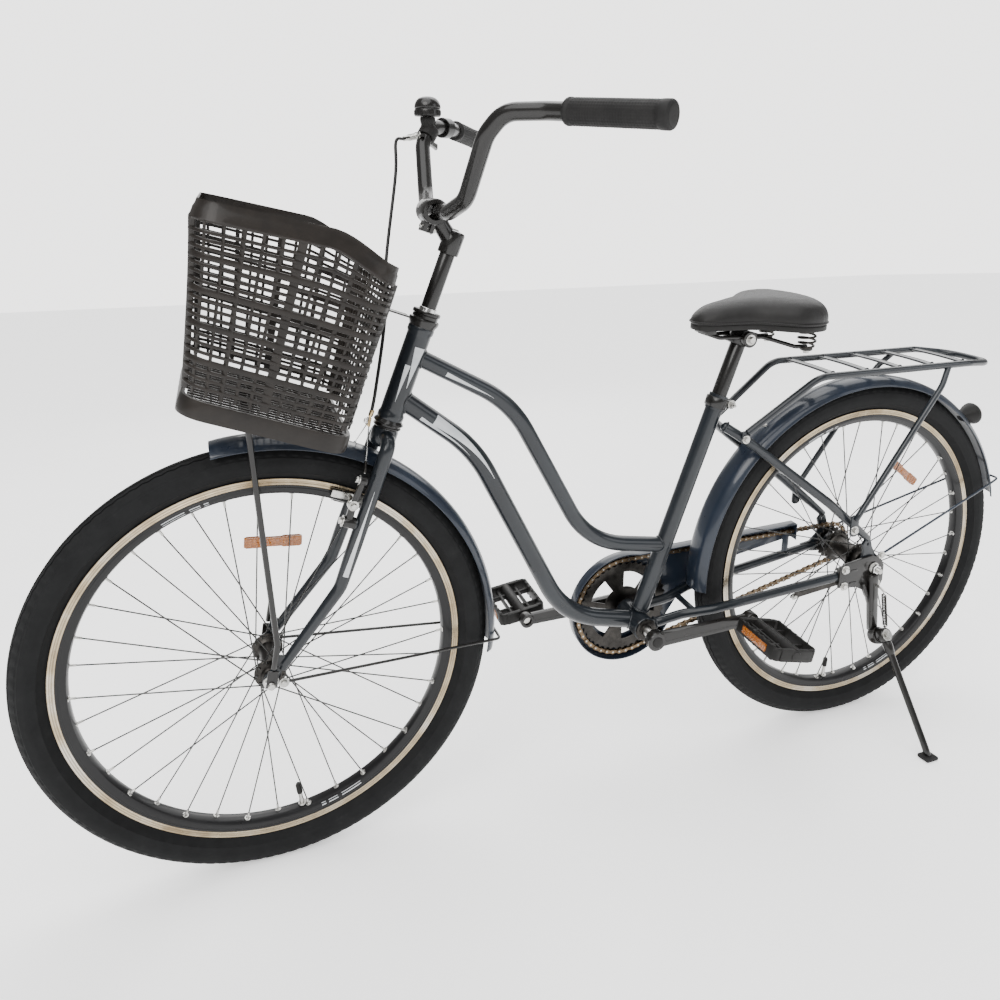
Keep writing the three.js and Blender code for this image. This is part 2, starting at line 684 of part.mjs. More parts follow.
function addCockpit(group) {
  addPiece(group, 'fork', fork(), SLATE_PAINT);
  addPiece(group, 'stem', stem(), BLACK_PAINT);
  addPiece(group, 'handlebar', handlebar(), BLACK_PAINT);
  addPiece(group, 'grip_left', grip(1), BLACK_PLASTIC);
  addPiece(group, 'grip_right', grip(-1), BLACK_PLASTIC);
  addPiece(group, 'brake_lever_body', leverBody(), BLACK_PLASTIC);
  addPiece(group, 'brake_lever', leverBlade(), BLACK_PAINT);
  addPiece(group, 'front_axle', axle(68, 54.5, 8, 5).translate(WHEELBASE, 0, WHEEL_RADIUS), STEEL);
  const guard = mudguard(80, 187, 16).translate(WHEELBASE, 0, WHEEL_RADIUS);
  addPiece(group, 'front_mudguard', guard, SLATE_PAINT);
  const stay = guardStay(vec(-17, 0, -2), 57, 183).translate(WHEELBASE, 0, WHEEL_RADIUS);
  addPiece(group, 'front_mudguard_stay', stay, BLACK_PAINT);
}

// ------------------------------------------------------------------------- bell, brake and basket

function addBell(group) {
  const bar = vec(763, -163, 1084);
  const band = rod(vec(757, -167.5, 1092), vec(769.5, -157.5, 1074), 15, 12);
  const post = rod(vec(bar.x, bar.y, bar.z + 6), vec(bar.x, bar.y, bar.z + 24), 12, 12);
  const base = cut(join(band, post), handlebar(BAR_RADIUS + GAP));
  addPiece(group, 'bell_base', base, BLACK_PLASTIC);
  const profile = [
    [0, 30],
    [12, 28],
    [18, 22],
    [20.5, 12],
    [20.5, 2],
    [0, 0],
  ];
  const dome = new THREE.LatheGeometry(profile.reverse().map(([r, z]) => new THREE.Vector2(r, z)), 16);
  dome.rotateX(Math.PI / 2).translate(bar.x, bar.y, bar.z + 24.4);
  addPiece(group, 'bell_dome', dome, BLACK_PAINT);
}

const BRAKE_PIVOT_SIDE = 47;

// A cantilever arm: boss on the fork, bar up to the wire anchor, and the pad facing the rim.
function cantilever(side) {
  const boss = rod(vec(11.2, side * BRAKE_PIVOT_SIDE, 246), vec(30, side * BRAKE_PIVOT_SIDE, 246), 8, 12);
  const arm = rod(vec(24, side * BRAKE_PIVOT_SIDE, 246), vec(24, side * 60, 312), 5.5, 8);
  const holder = rod(vec(24, side * 50, 274), vec(24, side * 22, 274), 4, 8);
  const pad = block(vec(50, 8, 11), vec(26, side * 19.3, 273));
  const anchor = rod(vec(16, side * 60, 312), vec(32, side * 60, 312), 6, 8);
  return intoSteering(join(boss, arm, holder, pad, anchor));
}

// The housing from the lever down to the yoke, and the two wires from the yoke to the arms.
function brakeCable() {
  const route = [
    CABLE_EXIT.clone().add(vec(1, 0.6, 0)),
    vec(812, -170, 1070),
    vec(818, -150, 1020),
    vec(846, -96, 900),
    steerPoint(46, -30, 520),
    steerPoint(34, 0, 430),
    steerPoint(28, 0, 388),
  ];
  const curve = new THREE.CatmullRomCurve3(route);
  const options = { extrudePath: curve, steps: 24, bevelEnabled: false };
  const housing = new THREE.ExtrudeGeometry(circleShape(2.5, 6), options);
  const yoke = rod(steerPoint(24, 0, 386), steerPoint(34, 0, 386), 8, 8);
  const wires = [-1, 1].map((side) => {
    const yokeEnd = steerPoint(27, side * 4, 384);
    return rod(yokeEnd, steerPoint(24, side * 55.6, 321.5), 1, 6);
  });
  return join(housing, yoke, ...wires);
}

const BASKET_LOW = 371;
const BASKET_HIGH = 614;

// A ring of corner points of the basket at a height, narrower and shorter towards the floor.
function basketRing(front, rear, halfWidth, up, rearDrop = 0, frontDrop = 0) {
  const corner = 30;
  const outline = new THREE.Path();
  outline.moveTo(front, halfWidth - corner);
  outline.quadraticCurveTo(front, halfWidth, front - corner, halfWidth);
  outline.lineTo(rear + corner, halfWidth);
  outline.quadraticCurveTo(rear, halfWidth, rear, halfWidth - corner);
  outline.lineTo(rear, corner - halfWidth);
  outline.quadraticCurveTo(rear, -halfWidth, rear + corner, -halfWidth);
  outline.lineTo(front - corner, -halfWidth);
  outline.quadraticCurveTo(front, -halfWidth, front, corner - halfWidth);
  outline.closePath();
  const points = outline.getPoints(3).slice(0, -1);
  return points.map((p) => {
    const drop = rearDrop * THREE.MathUtils.smoothstep(rear + 90 - p.x, 0, 90);
    const slope = frontDrop * Math.max(0, (p.x - 174) / (front - 174));
    return vec(p.x, p.y, up - drop - slope);
  });
}

// A closed skin through rings of equal point counts: the first and last rings are filled.
function skin(rings) {
  const count = rings[0].length;
  const positions = rings.flat().flatMap((p) => [p.x, p.y, p.z]);
  const faces = [];
  for (let i = 0; i < rings.length - 1; i += 1) {
    for (let j = 0; j < count; j += 1) {
      const a = i * count + j;
      const b = i * count + ((j + 1) % count);
      faces.push(a, b, a + count, b, b + count, a + count);
    }
  }
  const last = (rings.length - 1) * count;
  for (let j = 1; j < count - 1; j += 1) {
    faces.push(0, j + 1, j);
    faces.push(last, last + j, last + j + 1);
  }
  const geometry = new THREE.BufferGeometry();
  geometry.setAttribute('position', new THREE.Float32BufferAttribute(positions, 3));
  geometry.setIndex(faces);
  return geometry;
}

function basket() {
  const rings = [
    basketRing(280, 70, 116, BASKET_LOW),
    basketRing(336, 84, 152, BASKET_HIGH, 22, 14),
    basketRing(332, 88, 148, BASKET_HIGH, 22, 14),
    basketRing(276, 74, 112, BASKET_LOW + 4),
  ];
  const shell = skin(rings);
  const bracket = block(vec(62, 26, 3), vec(53.8, 0, 540));
  const reach = rod(vec(0, 0, 520), vec(0, 0, 560), 22 + GAP, 20);
  return cut(join(intoSteering(shell), intoSteering(bracket)), intoSteering(reach));
}

function basketStrut() {
  const points = [
    steerPoint(56, 63.4, 26),
    steerPoint(62, 64, 60),
    steerPoint(200, 60, 366),
    steerPoint(200, -60, 366),
    steerPoint(62, -64, 60),
    steerPoint(56, -63.4, 26),
  ];
  return tube(points, 4, { sides: 6, steps: 20, bend: 14 });
}

function addFrontLoad(group) {
  addBell(group);
  addPiece(group, 'brake_arm_left', cantilever(1), BLACK_PAINT);
  addPiece(group, 'brake_arm_right', cantilever(-1), BLACK_PAINT);
  addPiece(group, 'brake_cable', brakeCable(), BLACK_PLASTIC);
  addPiece(group, 'basket', basket(), BLACK_PLASTIC);
  addPiece(group, 'basket_strut', basketStrut(), BLACK_PAINT);
}

// ------------------------------------------------------------------------------------------ wheels

function tyre() {
  const middle = WHEEL_RADIUS - TYRE_HEIGHT;
  const profile = [];
  [-150, -95, -45, 0, 45, 95, 150].forEach((angle) => {
    profile.push([
      middle + TYRE_HEIGHT * Math.cos(rad(angle)),
      TYRE_HALF_WIDTH * Math.sin(rad(angle)),
    ]);
  });
  profile.push([RIM_RADIUS + GAP, 9.8], [RIM_RADIUS - 5, 9.4], [RIM_RADIUS - 5, 6.4]);
  [135, 50, -50, -135].forEach((angle) => {
    profile.push([middle + 20 * Math.cos(rad(angle)), 18 * Math.sin(rad(angle))]);
  });
  profile.push([RIM_RADIUS - 5, -6.4], [RIM_RADIUS - 5, -9.4], [RIM_RADIUS + GAP, -9.8]);
  profile.push(profile[0]);
  return turned(profile, WHEEL_SIDES);
}

function innerTube() {
  const profile = [];
  for (let i = 0; i <= 6; i += 1) {
    const angle = (2 * Math.PI * i) / 6;
    profile.push([WHEEL_RADIUS - 27 + 10 * Math.cos(angle), 10 * Math.sin(angle)]);
  }
  return turned(profile, 16);
}

function rim() {
  const inner = RIM_RADIUS - RIM_DEPTH;
  const profile = [
    [inner, -7],
    [inner, 7],
    [inner + 12, RIM_HALF_WIDTH],
    [RIM_RADIUS, RIM_HALF_WIDTH],
    [RIM_RADIUS, 10.4],
    [RIM_RADIUS - 8, 10],
    [RIM_RADIUS - 12, 0],
    [RIM_RADIUS - 8, -10],
    [RIM_RADIUS, -10.4],
    [RIM_RADIUS, -RIM_HALF_WIDTH],
    [inner + 12, -RIM_HALF_WIDTH],
    [inner, -7],
  ];
  return turned(profile.reverse(), WHEEL_SIDES);
}

// The hub shell with every spoke laced to it: each side leans half its spokes forward, half back.
function hub(flangeRadius, flangeY, barrelRadius, halfLength, boreRadius) {
  const profile = [
    [boreRadius, -halfLength],
    [boreRadius + 4, -halfLength],
    [barrelRadius, -flangeY - 2],
    [flangeRadius, -flangeY - 2],
    [flangeRadius, -flangeY + 2],
    [barrelRadius, -flangeY + 2],
    [barrelRadius, flangeY - 2],
    [flangeRadius, flangeY - 2],
    [flangeRadius, flangeY + 2],
    [barrelRadius, flangeY + 2],
    [boreRadius + 4, halfLength],
    [boreRadius, halfLength],
    [boreRadius, -halfLength],
  ];
  const pieces = [turned(profile, 12)];
  const rimReach = (RIM_RADIUS - RIM_DEPTH) * Math.cos(Math.PI / WHEEL_SIDES) - 0.5;
  for (let i = 0; i < SPOKE_COUNT; i += 1) {
    const side = i % 2 === 0 ? 1 : -1;
    const lead = Math.floor(i / 2) % 2 === 0 ? 1 : -1;
    const rimAngle = rad((360 * i) / SPOKE_COUNT);
    const hubAngle = rimAngle - lead * rad(SPOKE_CROSS);
    const low = flangeRadius - 4;
    const from = vec(low * Math.cos(hubAngle), side * (flangeY + lead * 2.6), low * Math.sin(hubAngle));
    const to = vec(rimReach * Math.cos(rimAngle), side * 3, rimReach * Math.sin(rimAngle));
    pieces.push(rod(from, to, SPOKE_THICKNESS, 3));
  }
  return join(...pieces);
}

// A reflector clipped flat between the spokes.
function reflector(angle) {
  const plate = new THREE.BoxGeometry(16, 7, 80);
  return plate.translate(185, 0, 0).rotateY(-rad(angle));
}

function addWheel(parent, prefix, axlePoint, hubGeometry, reflectorAngle) {
  const wheel = new THREE.Group();
  wheel.position.copy(axlePoint);
  parent.add(wheel);
  const rubber = addPiece(wheel, `${prefix}_tyre`, tyre(), TYRE_RUBBER);
  addPiece(wheel, `${prefix}_inner_tube`, innerTube(), TUBE_RUBBER);
  addPiece(wheel, `${prefix}_rim`, rim(), ALLOY);
  addPiece(wheel, `${prefix}_hub`, hubGeometry, STEEL);
  addPiece(wheel, `${prefix}_reflector`, reflector(reflectorAngle), AMBER);
  return rubber;
}

// --------------------------------------------------------------------------- cranks and transmission

function chainring() {
  const face = new THREE.Shape(circlePoints(CHAINRING_PITCH - CHAIN_HALF_HEIGHT - 0.6, 32));
  for (let i = 0; i < 5; i += 1) {
    const angle = rad(36 + 72 * i);
    const hole = new THREE.Path();
    hole.absellipse(52 * Math.cos(angle), 52 * Math.sin(angle), 15, 20, 0, 2 * Math.PI, true, angle);
    const points = hole.getPoints(3).slice(0, -1);
    face.holes.push(new THREE.Path(points));
  }
  face.holes.push(new THREE.Path(circlePoints(8.6, 12, true)));
  return sidePlate(face, CHAIN_Y - 1.5, CHAIN_Y + 1.5);
}

function crankArm(side) {
  const inner = vec(0, side * 66, 0);
  const outer = vec(-CRANK_LENGTH, side * 88, 0);
  const arm = new THREE.Shape();
  arm.moveTo(0, -13);
  arm.lineTo(-CRANK_LENGTH, -10);
  arm.lineTo(-CRANK_LENGTH, 10);
  arm.lineTo(0, 13);
  const bar = sidePlate(arm, -6, 6);
  const slope = Math.atan2(outer.y - inner.y, -CRANK_LENGTH);
  bar.rotateZ(slope - Math.PI).translate(0, side * 66, 0);
  const bigBoss = rod(vec(0, side * 59, 0), vec(0, side * 74, 0), 16, 16);
  const smallBoss = rod(vec(-CRANK_LENGTH, side * 80, 0), vec(-CRANK_LENGTH, side * 95, 0), 12.5, 16);
  const axleWay = rod(vec(0, side * 40, 0), vec(0, side * 70, 0), 8 + GAP, 12);
  const pedalWay = rod(vec(-CRANK_LENGTH, side * 70, 0), vec(-CRANK_LENGTH, side * 110, 0), 7.4, 12);
  return cut(join(bar, bigBoss, smallBoss), axleWay, pedalWay);
}

// A platform pedal: side plates, end blocks and its spindle's sleeve, drawn about the spindle.
function pedal(side) {
  const low = 101;
  const high = 2 * PEDAL_Y - low;
  const pieces = [];
  [-1, 1].forEach((end) => {
    pieces.push(block(vec(10, high - low, 24), vec(end * 38, (side * (low + high)) / 2, 0)));
  });
  pieces.push(block(vec(76, 12, 20), vec(0, side * (low + 6), 0)));
  pieces.push(block(vec(76, 12, 20), vec(0, side * (high - 6), 0)));
  pieces.push(rod(vec(0, side * 82, 0), vec(0, side * high, 0), 6.6, 12));
  pieces.push(rod(vec(0, side * low, 0), vec(0, side * (high - 2), 0), 11, 12));
  return join(...pieces);
}

function addCranks(parent) {
  const cranks = new THREE.Group();
  cranks.position.copy(BRACKET);
  cranks.rotation.y = rad(CRANK_ANGLE);
  parent.add(cranks);
  addPiece(cranks, 'crank_axle', rod(vec(0, -69, 0), vec(0, 69, 0), 8, 12), STEEL);
  addPiece(cranks, 'chainring', chainring(), STEEL);
  addPiece(cranks, 'crank_arm_left', crankArm(1), BLACK_PAINT);
  addPiece(cranks, 'crank_arm_right', crankArm(-1).rotateY(Math.PI), BLACK_PAINT);
  [1, -1].forEach((side) => {
    const spot = new THREE.Group();
    spot.position.set(-side * CRANK_LENGTH, 0, 0);
    spot.rotation.y = -rad(CRANK_ANGLE) + rad(side > 0 ? -14 : 8);
    cranks.add(spot);
    addPiece(spot, side > 0 ? 'pedal_left' : 'pedal_right', pedal(side), BLACK_PLASTIC);
  });
  const sprocket = rod(vec(0, CHAIN_Y - 1.5, 0), vec(0, CHAIN_Y + 1.5, 0), 31.4, 24, 20.6);
  addPiece(parent, 'rear_sprocket', sprocket.translate(0, 0, WHEEL_RADIUS), STEEL);
}

// ------------------------------------------------------------------------------------------ saddle

const SADDLE_LOW = 782;

function saddleOutline() {
  const shape = new THREE.Shape();
  shape.moveTo(372, 0);
  shape.bezierCurveTo(372, 34, 330, 32, 290, 46);
  shape.bezierCurveTo(258, 58, 250, 92, 215, 92);
  shape.bezierCurveTo(165, 92, 140, 55, 140, 0);
  shape.bezierCurveTo(140, -55, 165, -92, 215, -92);
  shape.bezierCurveTo(250, -92, 258, -58, 290, -46);
  shape.bezierCurveTo(330, -32, 372, -34, 372, 0);
  return shape;
}

function saddle() {
  const options = {
    depth: 28,
    bevelEnabled: true,
    bevelThickness: 14,
    bevelSize: 12,
    bevelOffset: -4,
    bevelSegments: 2,
    curveSegments: 5,
  };
  return new THREE.ExtrudeGeometry(saddleOutline(), options).translate(0, 0, SADDLE_LOW + 14);
}

// The saddle's under-frame: two rails, a clamp round the post and two coil springs, as one weldment.
function saddleFrame() {
  const pieces = [];
  [-1, 1].forEach((side) => {
    const rail = [
      vec(352, side * 8, 775),
      vec(330, side * 16, 768),
      vec(250, side * 22, 766),
      vec(205, side * 47, 752),
      vec(185, side * 50, 752),
    ];
    pieces.push(tube(rail, 3.6, { sides: 6, steps: 10, bend: 20 }));
    pieces.push(rod(vec(185, side * 50, 746), vec(185, side * 50, SADDLE_LOW - GAP), 14, 8));
  });
  const top = seatPoint(SEAT_TUBE_LENGTH + 98);
  pieces.push(block(vec(26, 60, 22), vec(top.x, 0, 762)));
  pieces.push(block(vec(20, 40, 10), vec(346, 0, 776)));
  const postWay = rod(seatPoint(SEAT_TUBE_LENGTH), seatPoint(SEAT_TUBE_LENGTH + 120), 12.5 + GAP, 16);
  return cut(join(...pieces), postWay);
}

function addSaddle(group) {
  const post = rod(seatPoint(SEAT_TUBE_LENGTH - 130), seatPoint(SEAT_TUBE_LENGTH + 112), 12.5, 16);
  addPiece(group, 'seat_post', post, BLACK_PAINT);
  addPiece(group, 'saddle_frame', saddleFrame(), BLACK_PAINT);
  addPiece(group, 'saddle', saddle(), VINYL);
}

// ---------------------------------------------------------------------------------- whole bicycle

function lowestAlong(geometry, origin, normal) {
  const position = geometry.attributes.position;
  let lowest = Infinity;
  for (let i = 0; i < position.count; i += 1) {
    const point = new THREE.Vector3().fromBufferAttribute(position, i).add(origin);
    lowest = Math.min(lowest, point.dot(normal));
  }
  return lowest;
}

const upright = new THREE.Group();
addFrame(upright);
addFittings(upright);
addCockpit(upright);
addFrontLoad(upright);
addWheel(upright, 'front', FRONT_AXLE, hub(22, 33, 13, 44, 5.8), 95);
const rearTyre = addWheel(upright, 'rear', REAR_AXLE, hub(30, 28, 20, 40, 5.8), 128);
addCranks(upright);
addStand(upright, lowestAlong(rearTyre.geometry, REAR_AXLE, GROUND_NORMAL));
addSaddle(upright);
upright.rotation.z = Math.PI;

const leaning = new THREE.Group();
leaning.add(upright);
leaning.rotation.x = rad(LEAN);

const bicycle = new THREE.Group();
bicycle.add(leaning);
bicycle.updateMatrixWorld(true);
const bounds = new THREE.Box3().setFromObject(bicycle, true);
const centre = bounds.getCenter(new THREE.Vector3());
bicycle.position.set(-centre.x, -centre.y, -bounds.min.z);

export default bicycle;
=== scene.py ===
"""Looks of a step-through city bicycle that leans on its side stand.

Everything is drawn in the bicycle's own axes, in millimetres: X forward, Y to the rider's left,
Z up, with the origin on the ground under the rear axle.  on_row() takes that to the row frame.
"""
import math

import bmesh
import bpy
import numpy as np
from mathutils import Matrix, Vector


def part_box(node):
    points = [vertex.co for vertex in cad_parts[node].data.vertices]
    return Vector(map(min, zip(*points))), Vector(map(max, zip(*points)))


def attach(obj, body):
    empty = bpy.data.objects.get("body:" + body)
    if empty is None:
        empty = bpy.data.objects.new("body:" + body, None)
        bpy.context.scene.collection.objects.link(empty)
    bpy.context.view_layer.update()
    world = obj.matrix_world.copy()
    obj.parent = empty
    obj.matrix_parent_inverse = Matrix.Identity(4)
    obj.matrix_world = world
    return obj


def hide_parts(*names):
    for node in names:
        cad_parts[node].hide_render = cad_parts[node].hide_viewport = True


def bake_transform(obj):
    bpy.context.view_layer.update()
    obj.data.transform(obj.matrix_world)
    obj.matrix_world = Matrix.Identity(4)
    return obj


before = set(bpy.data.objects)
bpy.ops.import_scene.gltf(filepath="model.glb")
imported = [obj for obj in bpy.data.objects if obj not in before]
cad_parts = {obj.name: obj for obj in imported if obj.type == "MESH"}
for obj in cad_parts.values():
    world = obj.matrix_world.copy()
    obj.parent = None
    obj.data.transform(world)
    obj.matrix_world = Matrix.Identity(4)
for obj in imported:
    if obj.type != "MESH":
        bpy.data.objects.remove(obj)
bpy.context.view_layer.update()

# ------------------------------------------------------------------ dimensions (mm and degrees)
LEAN = 7.6
WHEEL_R = 332.0
WHEELBASE = 1052.0
BRACKET = (448.0, 0.0, 279.0)
SEAT_ANGLE = 70.6
SEAT_TUBE = 412.0
HEAD_ANGLE = 69.36
FORK_OFFSET = 51.0
HEAD_LOW = 392.0
HEAD_HIGH = 531.0
CHAIN_Y = -46.0
RING_PITCH = 89.0
SPROCKET_PITCH = 36.6
CRANK = 168.0
CRANK_ANGLE = 6.5
GUARD_R = 343.0
RACK_Z = 700.0

# ------------------------------------------------------------------------- axes and placement
LEAN_C, LEAN_S = math.cos(math.radians(LEAN)), math.sin(math.radians(LEAN))
TURN = np.array([[-1, 0, 0], [0, -LEAN_C, -LEAN_S], [0, -LEAN_S, LEAN_C]])
low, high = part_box("rear_rim")
SHIFT = np.array((low + high) / 2) - TURN @ np.array([0, 0, WHEEL_R / 1000])


def on_row(points):
    """Bicycle millimetres to row-frame metres, for an array of points."""
    return np.asarray(points, float) @ TURN.T / 1000 + SHIFT


def v3(*xyz):
    return np.array(xyz, float)


def unit(vector):
    return np.asarray(vector, float) / np.linalg.norm(vector)


X, Y, Z = v3(1, 0, 0), v3(0, 1, 0), v3(0, 0, 1)
REAR_AXLE, FRONT_AXLE = v3(0, 0, WHEEL_R), v3(WHEELBASE, 0, WHEEL_R)
BB = v3(*BRACKET)
SEAT_DIR = v3(-math.cos(math.radians(SEAT_ANGLE)), 0, math.sin(math.radians(SEAT_ANGLE)))
STEER_UP = v3(-math.cos(math.radians(HEAD_ANGLE)), 0, math.sin(math.radians(HEAD_ANGLE)))
STEER_FWD = v3(STEER_UP[2], 0, -STEER_UP[0])
STEER_FOOT = FRONT_AXLE - STEER_FWD * FORK_OFFSET


def seat_at(distance, side=0.0):
    """A point up the seat tube's axis from the bottom bracket."""
    return BB + SEAT_DIR * distance + Y * side


def steer_at(forward, left, up):
    """A point of the steered parts: forward of the steering axis, to the left, and up along it."""
    return STEER_FOOT + STEER_FWD * forward + STEER_UP * up + Y * left


def polar(centre, radius, degrees, y=0.0):
    """A point in a wheel's plane; the angle runs from forward, over the top."""
    a = math.radians(degrees)
    return centre + v3(radius * math.cos(a), y, radius * math.sin(a))


# ----------------------------------------------------------------------------------- mesh code
def rounded(points, bend, step=7.0):
    """A polyline with its corners rounded as a bent tube's are, sampled about every step mm."""
    pts = [np.asarray(p, float) for p in points]
    out, start = [pts[0]], pts[0]
    for i in range(1, len(pts) - 1):
        before, after = pts[i - 1] - pts[i], pts[i + 1] - pts[i]
        lb, la = np.linalg.norm(before), np.linalg.norm(after)
        turn = math.acos(max(-1, min(1, before @ after / lb / la)))
        cut = min(bend * math.tan((math.pi - turn) / 2), min(lb, la) * 0.48)
        a, b = pts[i] + before / lb * cut, pts[i] + after / la * cut
        n = max(1, int(np.linalg.norm(a - start) / (step * 3)))
        out += [start + (a - start) * k / n for k in range(1, n + 1)]
        m = max(4, int(2 * cut / step))
        for k in range(1, m + 1):
            t = k / m
            out.append((1 - t) ** 2 * a + 2 * t * (1 - t) * pts[i] + t * t * b)
        start = b
    n = max(1, int(np.linalg.norm(pts[-1] - start) / (step * 3)))
    out += [start + (pts[-1] - start) * k / n for k in range(1, n + 1)]
    keep = [out[0]]
    for p in out[1:]:
        if np.linalg.norm(p - keep[-1]) > 1e-3:
            keep.append(p)
    return np.array(keep)


def smooth_line(points, count):
    """A Catmull-Rom curve through the points."""
    p = [np.asarray(q, float) for q in points]
    p = [2 * p[0] - p[1], *p, 2 * p[-1] - p[-2]]
    out = []
    for k in range(count + 1):
        s = min(k / count * (len(p) - 3), len(p) - 3 - 1e-9)
        i, t = int(s), s - int(s)
        a, b, c, d = p[i:i + 4]
        out.append(0.5 * (2 * b + (c - a) * t + (2 * a - 5 * b + 4 * c - d) * t * t
                          + (3 * b - a - 3 * c + d) * t ** 3))
    return np.array(out)


def circle(radius, sides=20, squash=1.0):
    a = np.arange(sides) * 2 * math.pi / sides
    return np.stack([radius * np.cos(a), radius * squash * np.sin(a)], 1)


def slab(width, height, corner, steps=3):
    """A rounded rectangle's outline, width along the first axis."""
    corner = min(corner, width / 2 - 1e-3, height / 2 - 1e-3)
    out = []
    for sx, sy, a0 in ((1, 1, 0), (-1, 1, 90), (-1, -1, 180), (1, -1, 270)):
        for k in range(steps + 1):
            a = math.radians(a0 + 90 * k / steps)
            out.append((sx * (width / 2 - corner) + corner * math.cos(a),
                        sy * (height / 2 - corner) + corner * math.sin(a)))
    return np.array(out)


def grid_faces(rows, cols, wrap_rows=False, wrap_cols=True):
    faces = []
    for i in range(rows if wrap_rows else rows - 1):
        for j in range(cols if wrap_cols else cols - 1):
            a, b = i * cols + j, i * cols + (j + 1) % cols
            c, d = ((i + 1) % rows) * cols + (j + 1) % cols, ((i + 1) % rows) * cols + j
            faces.append((a, b, c, d))
    return faces


def sweep(path, section, scale=None, up=None, loop=False, dome=0.0):
    """A section swept along a path.  up keeps its first axis towards a direction; dome rounds the
    ends by that many mm; scale is one factor per path point."""
    path = np.asarray(path, float)
    n = len(path)
    section = np.asarray(section, float)
    if loop:
        tangents = np.roll(path, -1, 0) - np.roll(path, 1, 0)
    else:
        tangents = np.gradient(path, axis=0)
    tangents /= np.linalg.norm(tangents, axis=1)[:, None]
    scale = np.ones(n) if scale is None else np.asarray(scale, float)
    if dome and not loop:
        ease = [math.sqrt(max(0.0, 1 - (1 - k) ** 2)) for k in (0.08, 0.3, 0.6)]
        back = [1.0 - k for k in (0.08, 0.3, 0.6)]
        head = [path[0] - tangents[0] * dome * b for b in back]
        tail = [path[-1] + tangents[-1] * dome * b for b in back][::-1]
        path = np.array([*head, *path, *tail])
        tangents = np.array([tangents[0]] * 3 + [*tangents] + [tangents[-1]] * 3)
        scale = np.array([e * scale[0] for e in ease] + [*scale] + [e * scale[-1] for e in ease[::-1]])
        n += 6
    axis = None
    rows = []
    for i in range(n):
        t = tangents[i]
        if up is not None:
            axis = np.asarray(up(path[i]) if callable(up) else up, float)
        elif axis is None:
            axis = Z if abs(t[2]) < 0.9 else X
        axis = unit(axis - t * (axis @ t))
        other = np.cross(t, axis)
        rows.append(path[i] + scale[i] * (section[:, :1] * axis + section[:, 1:] * other))
    verts = np.concatenate(rows)
    m = len(section)
    faces = grid_faces(n, m, wrap_rows=loop)
    if not loop:
        faces.append(tuple(range(m))[::-1])
        faces.append(tuple(range((n - 1) * m, n * m)))
    return verts, faces


def pipe(points, radius, bend=60.0, sides=20, step=7.0, dome=0.0):
    return sweep(rounded(points, bend, step), circle(radius, sides), dome=dome)


def lathe(profile, centre=(0, 0, 0), axis=Y, sides=48, closed=True, ref=None):
    """A profile of (radius, height) turned about an axis.  A closed profile is a ring; an open one
    starts and ends on the axis."""
    axis = unit(axis)
    ref = (Z if abs(axis[2]) < 0.9 else X) if ref is None else ref
    u = unit(ref - axis * (ref @ axis))
    w = np.cross(axis, u)
    a = np.arange(sides) * 2 * math.pi / sides
    ring = np.cos(a)[:, None] * u + np.sin(a)[:, None] * w
    rows = [np.asarray(centre, float) + axis * h + ring * r for r, h in profile]
    verts = np.concatenate(rows)
    faces = grid_faces(len(profile), sides, wrap_rows=closed)
    if not closed:
        faces.append(tuple(range(sides))[::-1])
        faces.append(tuple(range(len(verts) - sides, len(verts))))
    return verts, faces


def rod(a, b, radius, sides=20, soften=0.8, end_radius=None):
    """A round bar with softened edges."""
    a, b = np.asarray(a, float), np.asarray(b, float)
    length = np.linalg.norm(b - a)
    far = radius if end_radius is None else end_radius
    s = min(soften, radius * 0.4, length * 0.3)
    profile = [(radius - s, 0), (radius - s * 0.3, s * 0.3), (radius, s),
               (far, length - s), (far - s * 0.3, length - s * 0.3), (far - s, length)]
    return lathe(profile, a, b - a, sides, closed=False)


def shaft(a, b, stations, sides=24):
    """A turned part from a to b: stations of (share of the way, radius)."""
    a, b = np.asarray(a, float), np.asarray(b, float)
    length = np.linalg.norm(b - a)
    return lathe([(r, s * length) for s, r in stations], a, b - a, sides, closed=False)


def bevelled(verts, faces, width, segments=2, angle=20):
    bm = bmesh.new()
    made = [bm.verts.new(tuple(v)) for v in verts]
    for f in faces:
        bm.faces.new([made[i] for i in f])
    bmesh.ops.recalc_face_normals(bm, faces=bm.faces)
    edges = [e for e in bm.edges if len(e.link_faces) == 2
             and e.calc_face_angle(0) > math.radians(angle)]
    bmesh.ops.bevel(bm, geom=edges, offset=width, segments=segments, profile=0.6, affect="EDGES",
                    clamp_overlap=True)
    bm.verts.index_update()
    out = np.array([v.co[:] for v in bm.verts]), [tuple(v.index for v in f.verts) for f in bm.faces]
    bm.free()
    return out


def block(size, centre, bevel=1.0, axes=(X, Y, Z)):
    """A rounded block, size along its three axes."""
    half = np.asarray(size, float) / 2
    corners = []
    for sx in (-1, 1):
        for sy in (-1, 1):
            for sz in (-1, 1):
                offset = sx * half[0] * axes[0] + sy * half[1] * axes[1] + sz * half[2] * axes[2]
                corners.append(np.asarray(centre, float) + offset)
    faces = [(0, 1, 3, 2), (4, 6, 7, 5), (0, 4, 5, 1), (2, 3, 7, 6), (0, 2, 6, 4), (1, 5, 7, 3)]
    return bevelled(corners, faces, bevel)


